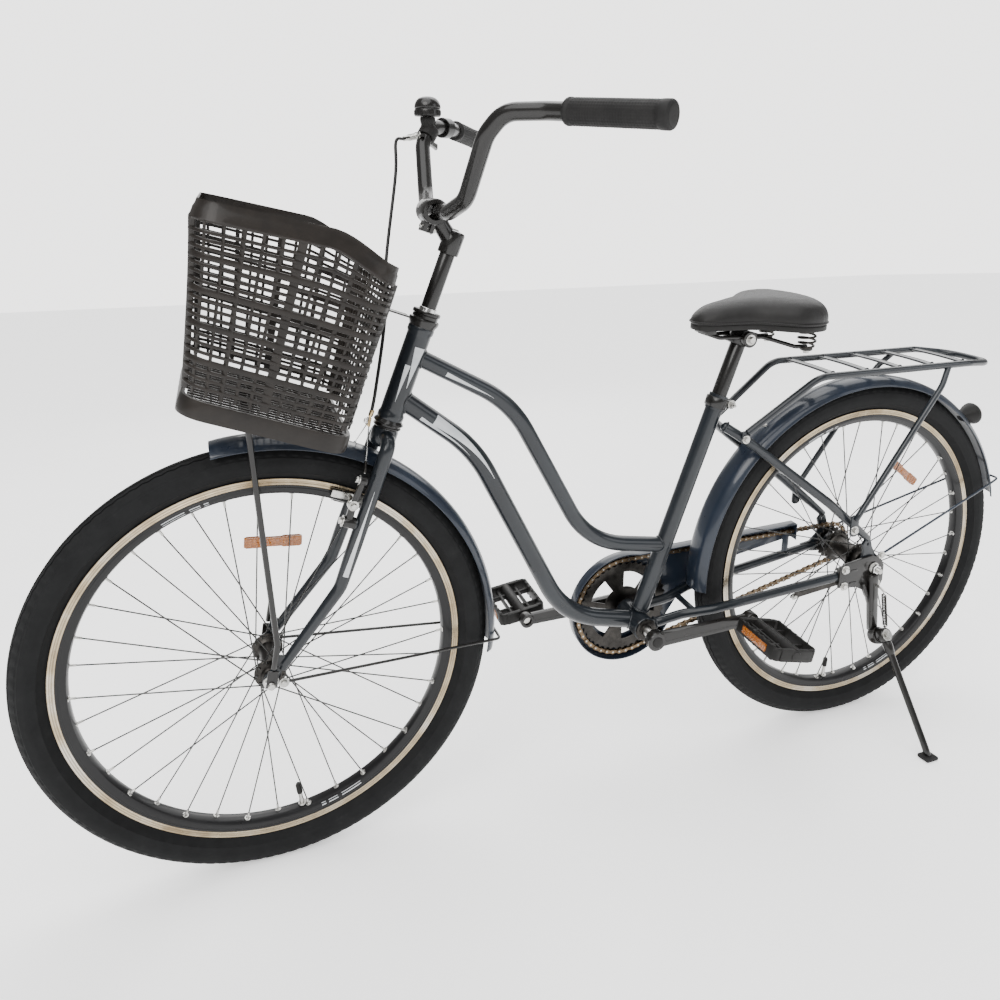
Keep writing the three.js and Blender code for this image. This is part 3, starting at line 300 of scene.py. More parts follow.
def plate(outline, thickness, place, bevel=0.5, holes=()):
    """A flat plate: a 2-D outline with holes, place(u, v, w) giving the point at height w."""
    bm = bmesh.new()
    edges = []
    for loop in (outline, *holes):
        vs = [bm.verts.new((float(u), float(v), 0)) for u, v in loop]
        edges += [bm.edges.new((vs[i], vs[(i + 1) % len(vs)])) for i in range(len(vs))]
    bmesh.ops.triangle_fill(bm, use_beauty=True, use_dissolve=False, edges=edges)
    bmesh.ops.dissolve_limit(bm, angle_limit=0.01, verts=bm.verts[:], edges=[])
    made = bmesh.ops.extrude_face_region(bm, geom=bm.faces[:])
    moved = [g for g in made["geom"] if isinstance(g, bmesh.types.BMVert)]
    bmesh.ops.translate(bm, vec=(0, 0, thickness), verts=moved)
    bmesh.ops.recalc_face_normals(bm, faces=bm.faces)
    if bevel:
        sharp = [e for e in bm.edges if len(e.link_faces) == 2 and e.calc_face_angle(0) > 1.2]
        bmesh.ops.bevel(bm, geom=sharp, offset=bevel, segments=2, profile=0.6, affect="EDGES",
                        clamp_overlap=True)
    bm.verts.index_update()
    verts = np.array([place(*v.co) for v in bm.verts])
    faces = [tuple(v.index for v in f.verts) for f in bm.faces]
    bm.free()
    return verts, faces


def ring_outline(radius, count, u=0.0, v=0.0):
    """A round hole's outline, centred on (u, v) in its plate's own plane."""
    return [(u + radius * math.cos(a), v + radius * math.sin(a))
            for a in np.linspace(0, 2 * math.pi, count + 1)[:-1]]


def side_place(y):
    """Places a plate drawn in (x, z) with its thickness along +Y from y."""
    return lambda u, v, w: v3(u, y + w, v)


def bolt(point, axis, size=8.0, height=4.0, washer=True):
    """A hexagonal head with a chamfer on a washer, its axis pointing outwards."""
    axis = unit(axis)
    parts = []
    if washer:
        ring = [(size * 0.2, 0), (size * 0.88, 0), (size * 0.92, 0.5), (size * 0.88, 1.1),
                (size * 0.2, 1.1)]
        parts.append(lathe(ring, point, axis, 24))
    p0 = np.asarray(point, float) + axis * (1.0 if washer else 0.0)
    r = size * 0.577
    hexagon = [(r * 0.97, 0), (r, height * 0.15), (r, height * 0.8), (r * 0.86, height), (r * 0.3, height)]
    parts.append(lathe(hexagon, p0, axis, 6, closed=False))
    return merged(parts)


def merged(parts):
    verts, faces, base = [], [], 0
    for v, f in parts:
        verts.append(np.asarray(v, float))
        faces += [tuple(i + base for i in face) for face in f]
        base += len(v)
    return np.concatenate(verts), faces


class Piece:
    """Collects parts with their materials, then makes one object that rides on a body."""

    def __init__(self, name, body, slot, *materials, replaces=()):
        self.name, self.body, self.slot = name, body, slot
        self.materials, self.replaces = materials, replaces
        self.verts, self.faces, self.looks, self.base = [], [], [], 0

    def add(self, part, look=0):
        verts, faces = part
        self.verts.append(np.asarray(verts, float))
        self.faces += [tuple(i + self.base for i in f) for f in faces]
        self.looks += [look] * len(faces)
        self.base += len(verts)
        return self

    def make(self, sharp=38, fix=True, bevel=0.0, between=None):
        mesh = bpy.data.meshes.new(self.name)
        points = on_row(np.concatenate(self.verts))
        mesh.from_pydata(points.tolist(), [], self.faces)
        for m in self.materials:
            mesh.materials.append(m)
        mesh.polygons.foreach_set("material_index", self.looks)
        if fix:
            bm = bmesh.new()
            bm.from_mesh(mesh)
            bmesh.ops.recalc_face_normals(bm, faces=bm.faces)
            bm.to_mesh(mesh)
            bm.free()
        mesh.polygons.foreach_set("use_smooth", [True] * len(mesh.polygons))
        mesh.set_sharp_from_angle(angle=math.radians(sharp))
        mesh.update()
        obj = bpy.data.objects.new(self.name, mesh)
        bpy.context.scene.collection.objects.link(obj)
        if bevel:
            m = obj.modifiers.new("Edges", "BEVEL")
            m.width, m.segments, m.limit_method = bevel, 2, "ANGLE"
            m.angle_limit = math.radians(40)
        if between:
            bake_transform(obj)
        else:
            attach(obj, self.body)
        if self.replaces:
            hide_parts(*self.replaces)
        return obj


# -------------------------------------------------------------------------------------- camera
def make_camera():
    """The camera stands off the bicycle's front left, in the bicycle's own axes."""
    place = on_row([[1079.3, 1069.7, 1023.0]])[0]
    right = TURN @ v3(-0.942805, 0.333259, 0.007595)
    up = TURN @ v3(-0.066548, -0.210496, 0.975327)
    back = -(TURN @ v3(-0.326635, -0.919037, -0.220635))
    data = bpy.data.cameras.new("camera")
    data.sensor_width, data.lens = 36, 28.351
    data.shift_x, data.shift_y = 0.0, -0.1478
    data.clip_start, data.clip_end = 0.05, 60
    cam = bpy.data.objects.new("camera", data)
    bpy.context.scene.collection.objects.link(cam)
    rot = Matrix([[right[i], up[i], back[i]] for i in range(3)]).to_4x4()
    cam.matrix_world = Matrix.Translation(Vector(place)) @ rot
    bpy.context.scene.camera = cam


make_camera()


# ----------------------------------------------------------------------------------- materials
def socket(node, name, value):
    node.inputs[name].default_value = value


class Look:
    """A principled material whose colour, roughness and bump come from small procedural nodes."""

    def __init__(self, name, roughness=0.5, metallic=0.0, coat=0.0, coat_rough=0.05, ior=1.5,
                 transmission=0.0, specular=0.5):
        self.mat = bpy.data.materials.new(name)
        self.mat.use_nodes = True
        self.tree = self.mat.node_tree
        self.shader = self.tree.nodes["Principled BSDF"]
        socket(self.shader, "Roughness", roughness)
        socket(self.shader, "Metallic", metallic)
        socket(self.shader, "Coat Weight", coat)
        socket(self.shader, "Coat Roughness", coat_rough)
        socket(self.shader, "IOR", ior)
        socket(self.shader, "Transmission Weight", transmission)
        socket(self.shader, "Specular IOR Level", specular)
        self.coords = self.tree.nodes.new("ShaderNodeTexCoord").outputs["Object"]
        self.normal = None

    def node(self, kind, **settings):
        made = self.tree.nodes.new(kind)
        for key, value in settings.items():
            setattr(made, key, value)
        return made

    def link(self, out, node, name):
        self.tree.links.new(out, node.inputs[name])

    def noise(self, scale, detail=3.0, rough=0.55, stretch=None, distort=0.0):
        """Noise with scale in features per metre."""
        made = self.node("ShaderNodeTexNoise")
        socket(made, "Scale", scale)
        socket(made, "Detail", detail)
        socket(made, "Roughness", rough)
        socket(made, "Distortion", distort)
        coords = self.coords
        if stretch:
            mapping = self.node("ShaderNodeMapping")
            socket(mapping, "Scale", stretch)
            self.link(coords, mapping, "Vector")
            coords = mapping.outputs["Vector"]
        self.link(coords, made, "Vector")
        return made.outputs["Fac"]

    def cells(self, scale, feature="F1", metric="EUCLIDEAN"):
        made = self.node("ShaderNodeTexVoronoi", feature=feature, distance=metric)
        socket(made, "Scale", scale)
        self.link(self.coords, made, "Vector")
        return made.outputs["Distance"]

    def attribute(self, name):
        return self.node("ShaderNodeAttribute", attribute_name=name).outputs["Fac"]

    def maths(self, operation, a, b=None):
        made = self.node("ShaderNodeMath", operation=operation)
        for i, value in enumerate((a, b)):
            if value is None:
                continue
            if isinstance(value, (int, float)):
                made.inputs[i].default_value = value
            else:
                self.tree.links.new(value, made.inputs[i])
        return made.outputs[0]

    def ramp(self, value, *stops):
        """Stops of (place, colour)."""
        made = self.node("ShaderNodeValToRGB")
        while len(made.color_ramp.elements) < len(stops):
            made.color_ramp.elements.new(0.5)
        for element, (place, colour) in zip(made.color_ramp.elements, stops):
            element.position = place
            element.color = (*colour, 1)
        self.link(value, made, "Fac")
        return made.outputs["Color"]

    def blend(self, value, a, b):
        """Mixes colours or sockets a and b."""
        made = self.node("ShaderNodeMix", data_type="RGBA")
        self.link(value, made, "Factor")
        for key, side in ((6, a), (7, b)):
            if isinstance(side, tuple):
                made.inputs[key].default_value = (*side, 1)
            else:
                self.tree.links.new(side, made.inputs[key])
        return made.outputs[2]

    def colour(self, out):
        self.link(out, self.shader, "Base Color")
        return self

    def roughness(self, value, low, high):
        made = self.node("ShaderNodeMapRange")
        socket(made, "To Min", low)
        socket(made, "To Max", high)
        self.link(value, made, "Value")
        self.link(made.outputs["Result"], self.shader, "Roughness")
        return self

    def bump(self, height, distance, strength=1.0):
        """Adds a bump whose full height is distance metres."""
        made = self.node("ShaderNodeBump")
        socket(made, "Distance", distance)
        socket(made, "Strength", strength)
        self.link(height, made, "Height")
        if self.normal is not None:
            self.link(self.normal, made, "Normal")
        self.normal = made.outputs["Normal"]
        self.link(self.normal, self.shader, "Normal")
        return self


def paint(name, dark, mid, light, coat=0.38):
    """Sprayed enamel: slow drifts of tone, fine flake, orange peel and a clear coat with smudges."""
    look = Look(name, roughness=0.32, coat=coat, coat_rough=0.04, specular=0.24)
    drift = look.noise(9, 4)
    flake = look.noise(2600, 1)
    tone = look.maths("ADD", look.maths("MULTIPLY", drift, 0.72), look.maths("MULTIPLY", flake, 0.28))
    look.colour(look.ramp(tone, (0.36, dark), (0.52, mid), (0.68, light)))
    look.roughness(look.noise(46, 5, 0.65), 0.2, 0.42)
    look.bump(look.noise(520, 2, 0.5), 0.00006, 0.5)
    look.bump(look.noise(60, 3, 0.5), 0.00015, 0.25)
    return look.mat


def metal(name, dark, light, rough=(0.18, 0.4), stretch=None, grain=900, bump=0.00004):
    look = Look(name, metallic=1.0)
    streak = look.noise(grain, 3, 0.6, stretch)
    stain = look.noise(55, 5, 0.7)
    tone = look.maths("ADD", look.maths("MULTIPLY", streak, 0.4), look.maths("MULTIPLY", stain, 0.6))
    look.colour(look.ramp(tone, (0.33, dark), (0.66, light)))
    look.roughness(stain, *rough)
    look.bump(streak, bump, 0.6)
    return look.mat


def plastic(name, dark, light, rough=(0.38, 0.6), grain=1500, bump=0.00006, coat=0.0):
    look = Look(name, coat=coat, coat_rough=0.1, specular=0.2)
    fine, slow = look.noise(grain, 2, 0.6), look.noise(30, 5, 0.6)
    look.colour(look.ramp(slow, (0.3, dark), (0.72, light)))
    look.roughness(look.noise(75, 4, 0.7), *rough)
    look.bump(fine, bump, 0.8)
    return look.mat


def tyre_rubber():
    """Matt black rubber: fine moulding grain and a little dust that lightens it in patches."""
    look = Look("tyre_rubber", specular=0.13)
    dust = look.noise(34, 6, 0.7)
    grain = look.noise(1900, 3, 0.7)
    base = look.ramp(dust, (0.32, (0.0045, 0.0047, 0.005)), (0.62, (0.0095, 0.0098, 0.0102)),
                     (0.84, (0.019, 0.019, 0.0185)))
    look.colour(look.blend(look.maths("MULTIPLY", grain, 0.35), base, (0.007, 0.0073, 0.0076)))
    look.roughness(dust, 0.6, 0.86)
    look.bump(grain, 0.00012, 0.7)
    look.bump(look.cells(950), 0.0001, 0.35)
    return look.mat


def turned_alloy():
    """A rim's machined flank: fine concentric lines, bumped and drawn as darker bands, with warm and cool
    tones painted into the colour as a painted reflection of the light the lines catch.
    """
    look = Look("turned_alloy", metallic=1.0)
    lines = look.node("ShaderNodeTexWave", wave_type="BANDS", bands_direction="X", wave_profile="SIN")
    socket(lines, "Scale", 0.095)
    radius = look.attribute("radius")
    pack = look.node("ShaderNodeCombineXYZ")
    look.link(radius, pack, "X")
    look.tree.links.new(pack.outputs[0], lines.inputs["Vector"])
    # painted reflection: this noise spreads warm and cool tones over the track's colour in place of the
    # light the turned lines catch
    painted_reflection = look.noise(14, 4, 0.6)
    tone = look.ramp(painted_reflection, (0.3, (0.27, 0.205, 0.125)), (0.52, (0.48, 0.4, 0.28)),
                     (0.78, (0.7, 0.68, 0.64)))
    look.colour(look.blend(look.maths("MULTIPLY", lines.outputs["Fac"], 0.6), tone, (0.1, 0.075, 0.045)))
    look.roughness(look.noise(220, 3), 0.2, 0.38)
    look.bump(lines.outputs["Fac"], 0.00008, 0.7)
    return look.mat


def vinyl():
    """Smooth upholstery vinyl with a shallow leather grain and a soft sheen."""
    look = Look("saddle_vinyl", specular=0.22)
    socket(look.shader, "Sheen Weight", 0.02)
    socket(look.shader, "Sheen Roughness", 0.5)
    wear = look.noise(16, 5, 0.6)
    look.colour(look.ramp(wear, (0.3, (0.0055, 0.0052, 0.0052)), (0.6, (0.009, 0.0085, 0.0082)),
                          (0.85, (0.015, 0.014, 0.0132))))
    grain = look.cells(620, "DISTANCE_TO_EDGE")
    look.roughness(look.noise(120, 5, 0.7), 0.36, 0.56)
    look.bump(look.maths("MINIMUM", grain, 0.12), 0.0011, 0.32)
    look.bump(look.noise(1900, 3, 0.6), 0.00008, 0.5)
    return look.mat


def lens(name, dark, light, rough=0.12, prisms=420, transmission=0.35, glow=0.0):
    """Coloured prismatic plastic: rows of small pyramids under a smooth face."""
    look = Look(name, roughness=rough, coat=1.0, coat_rough=0.03, transmission=transmission, ior=1.49)
    rows = look.cells(prisms, "F1", "MANHATTAN")
    look.colour(look.ramp(rows, (0.15, light), (0.6, dark)))
    look.roughness(look.noise(80, 4), rough, rough + 0.14)
    look.bump(rows, 0.0011, 0.9)
    if glow:
        socket(look.shader, "Emission Color", (*light, 1))
        socket(look.shader, "Emission Strength", glow)
    return look.mat


SLATE = paint("slate_enamel", (0.006, 0.0078, 0.0102), (0.0087, 0.0112, 0.0144), (0.013, 0.0163, 0.0205))
NAVY = paint("navy_enamel", (0.0085, 0.0128, 0.021), (0.0122, 0.018, 0.0295), (0.0175, 0.025, 0.04))
BLACK = paint("black_enamel", (0.0035, 0.0032, 0.003), (0.006, 0.0055, 0.005), (0.011, 0.0098, 0.009))
RIM_BLACK = paint("rim_black", (0.004, 0.004, 0.0045), (0.0055, 0.0055, 0.006), (0.009, 0.009, 0.0095), 0.1)
SATIN = plastic("satin_plastic", (0.006, 0.0058, 0.0056), (0.012, 0.0114, 0.0108))
BASKET = plastic("basket_plastic", (0.0075, 0.006, 0.005), (0.015, 0.0118, 0.0095), (0.32, 0.52), coat=0.12)
GRIP = plastic("grip_rubber", (0.007, 0.007, 0.007), (0.014, 0.0134, 0.0132), (0.5, 0.72), 1800, 0.0001)
CABLE = plastic("cable_sleeve", (0.007, 0.007, 0.007), (0.013, 0.0125, 0.012), (0.22, 0.36), 900, 0.00003)
MARK = plastic("pale_stripe", (0.36, 0.38, 0.4), (0.55, 0.56, 0.57), (0.3, 0.45), 700, 0.00003, coat=0.6)
TYRE = tyre_rubber()
ALLOY = turned_alloy()
VINYL = vinyl()
ZINC = metal("zinc_steel", (0.27, 0.27, 0.26), (0.62, 0.61, 0.58))
CHROME = metal("bright_steel", (0.45, 0.45, 0.45), (0.75, 0.75, 0.74), (0.08, 0.22), bump=0.00002)
DARK_STEEL = metal("black_steel", (0.016, 0.015, 0.014), (0.06, 0.056, 0.052), (0.25, 0.5))
SPOKE = metal("spoke_steel", (0.02, 0.02, 0.02), (0.08, 0.08, 0.078), (0.2, 0.36))
BRASS = metal("brass_steel", (0.32, 0.22, 0.1), (0.68, 0.52, 0.3), (0.2, 0.42))
CHAIN = metal("oiled_chain", (0.05, 0.035, 0.022), (0.22, 0.16, 0.1), (0.26, 0.5), grain=700)
AMBER = lens("amber_lens", (0.26, 0.07, 0.0), (0.5, 0.17, 0.0), transmission=0.0)
SMOKE = lens("smoked_lens", (0.02, 0.004, 0.004), (0.055, 0.014, 0.012), 0.1, 500, 0.0)


# -------------------------------------------------------------------------------------- wheels
TYRE_SCALE = math.cos(math.pi / 32)   # the smooth tyre stands where the solid's flat facets do
TYRE_MID = 308.0 * TYRE_SCALE


def stamp_radius(obj, centre):
    """Stores each point's distance from the axle, in mm, for the turned lines of a rim."""
    mesh = obj.data
    co = np.zeros(len(mesh.vertices) * 3)
    mesh.vertices.foreach_get("co", co)
    local = (co.reshape(-1, 3) - SHIFT) @ TURN * 1000 - centre
    radius = np.hypot(local[:, 0], local[:, 2])
    made = mesh.attributes.new("radius", "FLOAT", "POINT")
    made.data.foreach_set("value", radius.astype(np.float32))


def tyre_part(centre, pitches=118, columns=4):
    """The tyre: a round carcass with zigzag grooves round it and sipes across its shoulders."""
    count = pitches * columns
    wave = [0.0, 1.0, 2.0, 1.0]
    crown = [(0, 0, 0), (9, 0, 0), (10.5, 1, 1), (13.5, 1, 1), (15, 0, 1), (27, 0, 1), (28.5, 1, 1),
             (31.5, 1, 1), (33, 0, 1), (46, 0, 0.6), (58, 0, 0.2), (60, 2, 0), (66, 2, 0), (68, 0, 0),
             (84, 0, 0), (100, 0, 0), (118, 0, 0), (122, 3, 0), (126, 0, 0), (140, 0, 0), (150, 0, 0)]
    depth_of = {0: 0.0, 1: 1.7, 2: 0.5, 3: -0.7}
    rows = []
    profile = [(-a, k, s) for a, k, s in reversed(crown[1:])] + crown
    for a, kind, sway in profile:
        rows.append((a, depth_of[kind], sway, kind))
    verts = np.zeros((count, len(rows), 3))
    for i in range(count):
        angle = 2 * math.pi * i / count
        shift = wave[i % columns] * 2.4 - 2.4
        for j, (a, depth, sway, kind) in enumerate(rows):
            side = 1 if a > 0 else -1
            phi = math.radians(a + side * sway * shift)
            if kind == 0 and 27 <= abs(a) <= 58 and i % columns == (0 if side > 0 else 2):
                depth = 1.3 if abs(a) > 33 else depth
            r = TYRE_MID + (24.0 * TYRE_SCALE - depth) * math.cos(phi)
            y = (22.9 - depth) * math.sin(phi)
            verts[i, j] = centre + v3(r * math.cos(angle), y, r * math.sin(angle))
    cols = len(rows)
    faces = grid_faces(count, cols, wrap_rows=True, wrap_cols=False)
    inner = []
    for i in range(count):
        angle = 2 * math.pi * i / count
        for r, y in ((283.5, 9.7), (281.5, 9.5), (281.5, -9.5), (283.5, -9.7)):
            inner.append(centre + v3(r * math.cos(angle), y, r * math.sin(angle)))
    base = count * cols
    for i in range(count):
        k = (i + 1) % count
        for m in range(3):
            faces.append((base + i * 4 + m, base + k * 4 + m, base + k * 4 + m + 1, base + i * 4 + m + 1))
        faces.append((i * cols + cols - 1, k * cols + cols - 1, base + k * 4, base + i * 4))
        faces.append((base + i * 4 + 3, base + k * 4 + 3, k * cols, i * cols))
    return np.concatenate([verts.reshape(-1, 3), np.array(inner)]), faces


RIM_PROFILE = [
    (258.3, 0), (258.6, 5), (260.2, 8.4), (264, 10.9), (268.6, 12.1), (269.4, 12.2), (269.9, 11.9),
    (270.4, 12.2), (273.2, 12.3), (273.7, 12.0), (274.2, 12.3), (277.0, 12.35), (277.5, 12.05),
    (278.0, 12.35), (281.4, 12.45), (282.7, 12.3), (283.0, 11.4), (282.5, 10.6), (275, 10), (271.2, 7),
    (271, 0)]


def rim_parts(centre):
    """The rim's two faces: painted bed and flanks, with a bare turned track up to the edge."""
    half = RIM_PROFILE
    loop = half + [(r, -y) for r, y in reversed(half[1:-1])]
    verts, faces = lathe([(r, y) for r, y in loop], centre, Y, 192)
    split = [273.0 < r < 283.2 and abs(y) > 11 for r, y in loop]
    looks = []
    for f in faces:
        rows = {i // 192 for i in f}
        looks.append(1 if all(split[r] for r in rows) else 0)
    return verts, faces, looks


def spoke_line(centre, index, flange_r, flange_y, count=36, cross=60.0):
    """One spoke's hub end, elbow and rim end, as the solid has them."""
    side = 1 if index % 2 == 0 else -1
    lead = 1 if (index // 2) % 2 == 0 else -1
    rim_angle = 360.0 * index / count
    hub_angle = rim_angle - lead * cross
    r = flange_r - 3.4
    hub = polar(centre, r, hub_angle, side * (flange_y + lead * 2.0))
    rim = polar(centre, 261.5, rim_angle, side * 3.0)
    return side, lead, hub, rim


def spokes_part(piece, centre, flange_r, flange_y, spoke_look, nipple_look):
    for i in range(36):
        side, lead, hub, rim = spoke_line(centre, i, flange_r, flange_y)
        along = unit(rim - hub)
        head = hub - Y * side * lead * 4.6
        elbow = [head, hub - Y * side * lead * 0.6, hub + along * 2.2, rim - along * 8]
        piece.add(pipe(elbow, 1.0, bend=2.0, sides=8, step=1.2), spoke_look)
        piece.add(lathe([(0.3, -1.1), (1.7, -0.7), (2.0, 0), (1.1, 0.6), (0.3, 0.6)], head,
                        Y * side * lead * -1,
                        8, closed=False), spoke_look)
        piece.add(shaft(rim - along * 12, rim, [(0, 1.3), (0.03, 1.7), (0.7, 1.75), (0.74, 2.6), (1, 2.9)],
                        10),
                  nipple_look)
        piece.add(lathe([(2.9, 0), (4.2, -0.1), (4.6, -0.7), (4.4, -1.2), (2.9, -1.2)], rim - along * 2.1,
                        along, 16),
                  nipple_look)


def hub_profile(flange_r, flange_y, barrel_r, half_length, bore):
    """A hub shell: waisted barrel, rounded flanges and stepped dust caps."""
    half = [(barrel_r * 0.93, 0), (barrel_r * 0.94, flange_y * 0.4), (barrel_r, flange_y - 7),
            (barrel_r + 3, flange_y - 3.4), (flange_r - 1.2, flange_y - 1.9), (flange_r, flange_y - 0.9),
            (flange_r, flange_y + 0.9), (flange_r - 1.2, flange_y + 1.9), (barrel_r + 3, flange_y + 2.2),
            (barrel_r, flange_y + 4), (barrel_r - 0.8, half_length - 3), (barrel_r - 2.4, half_length - 1),
            (bore + 4, half_length - 0.8), (bore + 3.6, half_length + 0.4), (bore + 1, half_length + 0.4)]
    return half + [(r, -y) for r, y in reversed(half[1:])]


def valve(piece, centre, degrees, look_stem, look_cap):
    """A tyre valve through the rim with its ring nut and cap."""
    outer, inner = polar(centre, 260, degrees), polar(centre, 226, degrees)
    piece.add(shaft(outer, inner, [(0, 3.6), (0.3, 3.5), (0.34, 3.1), (1, 3.0)], 16), look_stem)
    cap0, cap1 = polar(centre, 238, degrees), polar(centre, 221, degrees)
    piece.add(shaft(cap0, cap1, [(0, 4.0), (0.1, 4.4), (0.85, 4.2), (1, 3.0)], 12), look_cap)
    nut = polar(centre, 257.6, degrees)
    piece.add(lathe([(3.6, 0), (6.2, 0), (6.4, 1.0), (6.0, 2.2), (3.6, 2.2)], nut, unit(inner - outer), 24),
              look_stem)


def reflector_part(prefix, body, centre, degrees):
    """A clip-on spoke reflector: amber lens with a raised rim, ribs and a centre clip."""
    piece = Piece(prefix + "_reflector_lens", body, "amber_lens", AMBER, SATIN,
                  replaces=(prefix + "_reflector",))
    out = unit(polar(v3(0, 0, 0), 1, degrees))
    along = np.cross(Y, out)
    middle = polar(centre, 185, degrees)
    for side in (1, -1):
        def spot(u, w, h, side=side):
            return middle + along * u + out * w + Y * side * (1.4 + h)
        shell = [(-39.4, -6.2), (-36, -7.9), (-14, -7.9), (-11, -6.6), (11, -6.6), (14, -7.9), (36, -7.9),
                 (39.4, -6.2), (39.4, 6.2), (36, 7.9), (14, 7.9), (11, 6.6), (-11, 6.6), (-14, 7.9),
                 (-36, 7.9), (-39.4, 6.2)]
        piece.add(plate(shell, 1.4, spot, 0.5))
        for lo, hi in ((-37.5, -14), (14, 37.5)):
            face = [(lo, -6.1), (hi, -6.1), (hi, 6.1), (lo, 6.1)]
            piece.add(plate(face, 2.1, spot, 0.7))
            for k in range(4):
                u = lo + (hi - lo) * (k + 0.5) / 4
                rib = [(u - 0.5, -5.6), (u + 0.5, -5.6), (u + 0.5, 5.6), (u - 0.5, 5.6)]
                piece.add(plate(rib, 2.5, spot, 0.2))
        clip = [(-9, -4.6), (9, -4.6), (9, 4.6), (-9, 4.6)]
        piece.add(plate(clip, 2.4, spot, 0.8))
    piece.make(sharp=30)


def make_wheel(prefix, body, centre, hub, reflector_angle, valve_angle, hub_look):
    flange_r, flange_y, barrel_r, half_length, bore = hub
    tyre = Piece(prefix + "_tyre_tread", body, "tyre_rubber", TYRE,
                 replaces=(prefix + "_tyre", prefix + "_inner_tube"))
    tyre.add(tyre_part(centre)).make(sharp=32)
    rim = Piece(prefix + "_rim_section", body, "rim_alloy", RIM_BLACK, ALLOY, replaces=(prefix + "_rim",))
    verts, faces, looks = rim_parts(centre)
    rim.add((verts, faces))
    rim.looks = looks
    stamp_radius(rim.make(sharp=28), centre)
    marks = Piece(prefix + "_rim_marks", body, "rim_alloy", MARK)
    for start in (62, 242):
        for side in (1, -1):
            for offset, span, low, high in ((0, 7, 262.6, 266.8), (8.4, 3.2, 262.6, 266.8),
                                            (12.6, 1.4, 262.6, 266.8)):
                marks.add(rim_mark(centre, side, start + offset, span, low, high))
    marks.make()
    laced = Piece(prefix + "_spokes", body, "steel", SPOKE, ZINC)
    spokes_part(laced, centre, flange_r, flange_y, 0, 1)
    laced.make(sharp=50)
    shell = Piece(prefix + "_hub_shell", body, "steel", hub_look, ZINC, SATIN, replaces=(prefix + "_hub",))
    shell.add(lathe(hub_profile(flange_r, flange_y, barrel_r, half_length - 1, bore), centre, Y, 64))
    for side in (1, -1):
        ring = [(bore + 0.6, 0), (bore + 3.4, 0), (bore + 3.2, 2.2), (bore + 1.4, 3.0), (bore + 0.6, 3.0)]
        shell.add(lathe(ring, centre + Y * side * (half_length - 1.2), Y * side, 32), 1)
    valve(shell, centre, valve_angle, 1, 2)
    shell.make(sharp=35)
    reflector_part(prefix, body, centre, reflector_angle)


def rim_mark(centre, side, start, span, low, high):
    """A thin pale dash printed on the rim's painted flank."""
    rows = 14
    verts = []
    for lift in (0.0, 0.16):
        for k in range(rows + 1):
            degrees = start + span * k / rows
            for r in (low, high):
                y = np.interp(r, [260.2, 264, 268.6], [8.4, 10.9, 12.1]) + lift
                verts.append(polar(centre, r - lift * 0.5, degrees, side * y))
    n = (rows + 1) * 2
    faces = []
    for k in range(rows):
        a, b, c, d = 2 * k, 2 * k + 1, 2 * k + 3, 2 * k + 2
        faces += [(a, b, c, d), (n + a, n + d, n + c, n + b), (a, d, n + d, n + a), (b, n + b, n + c, c)]
    faces += [(0, n, n + 1, 1), (2 * rows, 2 * rows + 1, n + 2 * rows + 1, n + 2 * rows)]
    return np.array(verts), faces


make_wheel("front", "front_wheel", FRONT_AXLE, (22, 33, 13, 44, 5.8), 95, 262, DARK_STEEL)
make_wheel("rear", "rear_wheel", REAR_AXLE, (30, 28, 20, 40, 5.8), 128, 276, DARK_STEEL)


# ---------------------------------------------------------------------------------- main frame
UPPER = [steer_at(0, 0, HEAD_LOW + 98), v3(681, 0, 687), v3(545, 0, 437), seat_at(140)]
DOWN = [steer_at(0, 0, HEAD_LOW + 34), v3(740, 0, 622), v3(583, 0, 312), BB]


def weld(point, axis, radius, width=3.2):
    """A rippled bead round a tube where it meets its neighbour."""
    axis = unit(axis)
    u = unit(np.cross(axis, X if abs(axis[0]) < 0.9 else Y))
    w = np.cross(axis, u)
    path = []
    for k in range(72):
        a = 2 * math.pi * k / 72
        r = radius + 0.35 * math.cos(a * 24)
        path.append(point + r * (math.cos(a) * u + math.sin(a) * w) + axis * 0.4 * math.sin(a * 24))
    return sweep(np.array(path), circle(width / 2, 8), loop=True, up=axis)


def trimmed(path, start=None, end=None, start_cut=0.0, end_cut=0.0):
    """A path without the points nearer to start or end than the given cuts."""
    keep = [p for p in path
            if (start is None or np.linalg.norm(p - start) > start_cut)
            and (end is None or np.linalg.norm(p - end) > end_cut)]
    return np.array(keep)


def even(path, step):
    """The same path with equally spaced points about a step apart."""
    path = np.asarray(path, float)
    run = np.concatenate([[0], np.cumsum(np.linalg.norm(np.diff(path, axis=0), axis=1))])
    at = np.linspace(0, run[-1], int(run[-1] / step) + 2)
    return np.stack([np.interp(at, run, path[:, i]) for i in range(3)], 1)


def coped(verts, ring, foot, axis, radius, slide):
    """Slides one ring of a sweep along its tube until it meets a round tube's surface."""
    across = slide - axis * (slide @ axis)
    for i in ring:
        rel = verts[i] - foot
        rel = rel - axis * (rel @ axis)
        a, b, c = across @ across, 2 * rel @ across, rel @ rel - radius ** 2
        verts[i] = verts[i] + slide * ((-b - math.sqrt(max(0.0, b * b - 4 * a * c))) / (2 * a))


def bead(verts, ring, slide, centre, width=3.4):
    """A weld bead that follows a coped end."""
    path = []
    for i in ring:
        out = verts[i] - centre
        out = unit(out - slide * (out @ slide))
        path.append(verts[i] + out * 0.3 - slide * 0.6)
    return sweep(np.array(path), circle(width / 2, 8), loop=True, up=slide)


